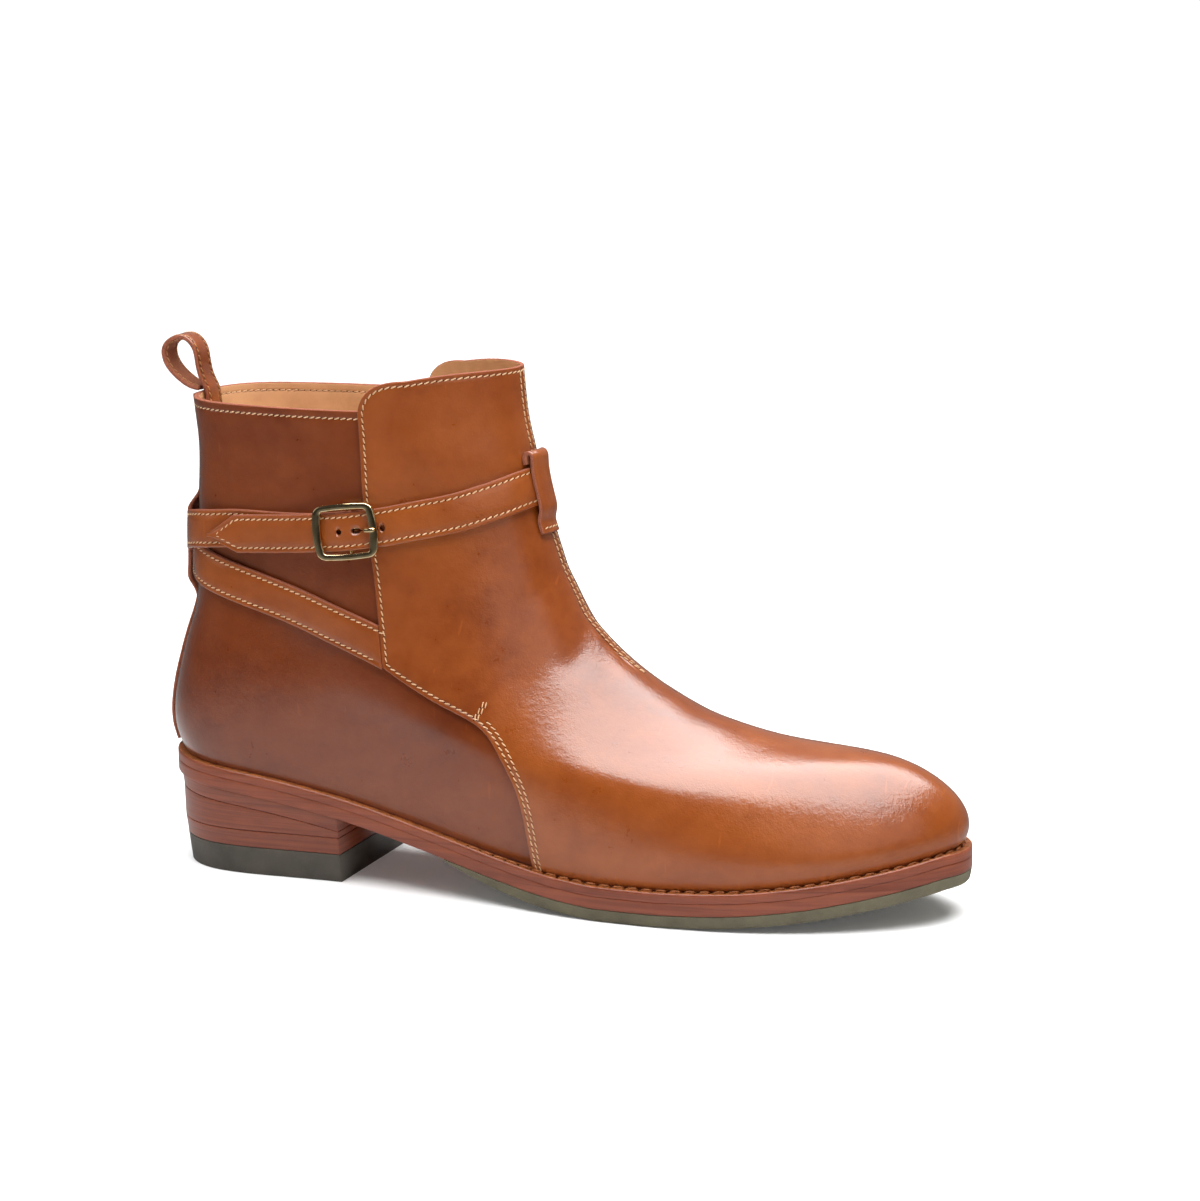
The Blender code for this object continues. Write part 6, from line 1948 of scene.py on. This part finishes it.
def make_stage():
    """Pale floor, studio light and the camera at the photograph's angle."""
    scene = bpy.context.scene
    stage = scene.boot_stage
    floor_mesh = bpy.data.meshes.new("floor")
    r = FLOOR_REACH
    floor_mesh.from_pydata([(-r, -r, 0), (r, -r, 0), (r, r, 0), (-r, r, 0)], [], [(0, 1, 2, 3)])
    floor = bpy.data.objects.new("floor", floor_mesh)
    scene.collection.objects.link(floor)
    finish, tree, shader = new_finish("pale_floor", Roughness=0.9, Specular_IOR_Level=0.1,
                                      Emission_Color=(1.0, 1.0, 1.0, 1.0))
    if tree is not None:
        away = put(tree, "ShaderNodeVectorMath", {"operation": "LENGTH"},
                   i0=own_coordinates(tree)).outputs["Value"]
        seen = put(tree, "ShaderNodeLightPath").outputs["Is Camera Ray"]
        glow = maths(tree, "MULTIPLY", seen, spread(tree, away, 0.5, 2.5, 0.07, 1.0))
        tree.links.new(glow, shader.inputs["Emission Strength"])
        grain = noise(tree, own_coordinates(tree), 3.0, 2.0)
        white = tones(tree, grain, (0.3, (0.86, 0.86, 0.865)), (0.7, (0.88, 0.88, 0.88)))
        # For glossy rays the floor near the boot turns near-black: a painted darker reflection of the floor
        # in the leather
        mirrored = put(tree, "ShaderNodeLightPath").outputs["Is Glossy Ray"]
        painted_dark_reflection = maths(tree, "MULTIPLY", mirrored, spread(tree, away, 0.05, 0.40, 0.55, 0.96))
        tree.links.new(blend(tree, painted_dark_reflection, white, (0.05, 0.05, 0.05)), shader.inputs["Base Color"])
    floor_mesh.materials.append(finish)

    world = scene.world or bpy.data.worlds.new("studio")
    scene.world = world
    world.use_nodes = True
    tree = world.node_tree
    tree.nodes.clear()
    where = put(tree, "ShaderNodeTexCoord").outputs["Generated"]
    axes = put(tree, "ShaderNodeSeparateXYZ", Vector=where)
    back = spread(tree, axes.outputs["Y"], -0.2, 0.9, 0.05, 0.26)
    light = put(tree, "ShaderNodeBackground", Color=(1.0, 1.0, 1.0, 1.0), Strength=back)
    white = put(tree, "ShaderNodeBackground", Color=(1.0, 1.0, 1.0, 1.0), Strength=1.0)
    seen = put(tree, "ShaderNodeLightPath").outputs["Is Camera Ray"]
    mixed = put(tree, "ShaderNodeMixShader", i0=seen, i1=light.outputs["Background"],
                i2=white.outputs["Background"])
    put(tree, "ShaderNodeOutputWorld", Surface=mixed.outputs["Shader"])

    for name, place, aim, wide, high, power, share in SOFTBOXES:
        lamp = bpy.data.lights.new(name, "AREA")
        lamp.shape, lamp.size, lamp.size_y = "RECTANGLE", wide, high
        lamp.energy = getattr(stage, power) * share
        holder = bpy.data.objects.new(name, lamp)
        scene.collection.objects.link(holder)
        holder.location = place
        holder.rotation_euler = (Vector(aim) - Vector(place)).to_track_quat("-Z", "Y").to_euler()

    camera_data = bpy.data.cameras.new("photo_camera")
    camera = bpy.data.objects.new("photo_camera", camera_data)
    scene.collection.objects.link(camera)
    a, e, roll = stage.camera_azimuth, stage.camera_elevation, stage.camera_roll
    back_axis = Vector((math.sin(a) * math.cos(e), -math.cos(a) * math.cos(e), math.sin(e)))
    right = Vector((math.cos(a), math.sin(a), 0.0))
    up = back_axis.cross(right)
    right_rolled = right * math.cos(roll) + up * math.sin(roll)
    up_rolled = up * math.cos(roll) - right * math.sin(roll)
    place = Matrix((right_rolled, up_rolled, back_axis)).transposed().to_4x4()
    place.translation = Vector(CAMERA_TARGET) + back_axis * stage.camera_distance
    camera.matrix_world = place
    camera_data.sensor_width = SENSOR_WIDTH
    camera_data.lens = SENSOR_WIDTH * FOCAL_PIXELS / PHOTO_SIZE[1]
    camera_data.clip_end = 200.0
    camera_data.dof.use_dof = False
    scene.camera = camera
    scene.view_settings.view_transform = "Standard"


# Operators, panel and registration


class BOOT_OT_stage(bpy.types.Operator):
    """Adds the floor, the studio light and the camera."""

    bl_idname = "boot.stage"
    bl_label = "Stage"

    def execute(self, context):
        make_stage()
        return {"FINISHED"}


class BOOT_OT_quarters(bpy.types.Operator):
    """Adds the quarters and their lining."""

    bl_idname = "boot.quarters"
    bl_label = "Quarters and lining"

    def execute(self, context):
        make_quarters()
        return {"FINISHED"}


class BOOT_OT_vamp(bpy.types.Operator):
    """Adds the vamp with its two wings."""

    bl_idname = "boot.vamp"
    bl_label = "Vamp and wings"

    def execute(self, context):
        make_vamp()
        return {"FINISHED"}


class BOOT_OT_back(bpy.types.Operator):
    """Adds the back stay and the pull loop."""

    bl_idname = "boot.back"
    bl_label = "Back stay and pull loop"

    def execute(self, context):
        make_back_stay()
        make_pull_loop()
        return {"FINISHED"}


class BOOT_OT_straps(bpy.types.Operator):
    """Adds the two straps and their keeper."""

    bl_idname = "boot.straps"
    bl_label = "Straps and keeper"

    def execute(self, context):
        make_straps()
        make_keeper()
        return {"FINISHED"}


class BOOT_OT_buckle(bpy.types.Operator):
    """Adds the buckle's frame, bar and prong."""

    bl_idname = "boot.buckle"
    bl_label = "Buckle"

    def execute(self, context):
        make_buckle()
        return {"FINISHED"}


class BOOT_OT_welt(bpy.types.Operator):
    """Adds the welt and its stitches."""

    bl_idname = "boot.welt"
    bl_label = "Welt"

    def execute(self, context):
        make_welt()
        return {"FINISHED"}


class BOOT_OT_soles(bpy.types.Operator):
    """Adds the insole, the outsole, the half sole and the heel."""

    bl_idname = "boot.soles"
    bl_label = "Soles and heel"

    def execute(self, context):
        make_insole()
        make_soles()
        make_heel()
        return {"FINISHED"}


class BOOT_OT_seams(bpy.types.Operator):
    """Adds the thread of the seams."""

    bl_idname = "boot.seams"
    bl_label = "Seams"

    def execute(self, context):
        make_seams()
        return {"FINISHED"}


STEPS = (BOOT_OT_stage, BOOT_OT_quarters, BOOT_OT_vamp, BOOT_OT_back, BOOT_OT_straps, BOOT_OT_buckle,
         BOOT_OT_welt, BOOT_OT_soles, BOOT_OT_seams)


class BOOT_PT_panel(bpy.types.Panel):
    """Lists the boot's pieces and its sizes and colours."""

    bl_idname = "BOOT_PT_panel"
    bl_label = "Jodhpur boot"
    bl_space_type = "VIEW_3D"
    bl_region_type = "UI"
    bl_category = "Boot"

    def draw(self, context):
        layout = self.layout
        for step in STEPS:
            layout.operator(step.bl_idname)
        for group in (context.scene.boot_sizes, context.scene.boot_colours, context.scene.boot_stage):
            box = layout.box()
            for name in group.bl_rna.properties.keys():
                if name not in ("rna_type", "name"):
                    box.prop(group, name)


CLASSES = (BootSizes, BootColours, BootStage, *STEPS, BOOT_PT_panel)


def register():
    for item in CLASSES:
        bpy.utils.register_class(item)
    bpy.types.Scene.boot_sizes = PointerProperty(type=BootSizes)
    bpy.types.Scene.boot_colours = PointerProperty(type=BootColours)
    bpy.types.Scene.boot_stage = PointerProperty(type=BootStage)


def unregister():
    del bpy.types.Scene.boot_stage
    del bpy.types.Scene.boot_colours
    del bpy.types.Scene.boot_sizes
    for item in reversed(CLASSES):
        bpy.utils.unregister_class(item)


def main():
    register()
    boot = bpy.ops.boot
    for step in (boot.stage, boot.quarters, boot.vamp, boot.back, boot.straps, boot.buckle, boot.welt,
                 boot.soles, boot.seams):
        step()


if __name__ == "__main__":
    main()
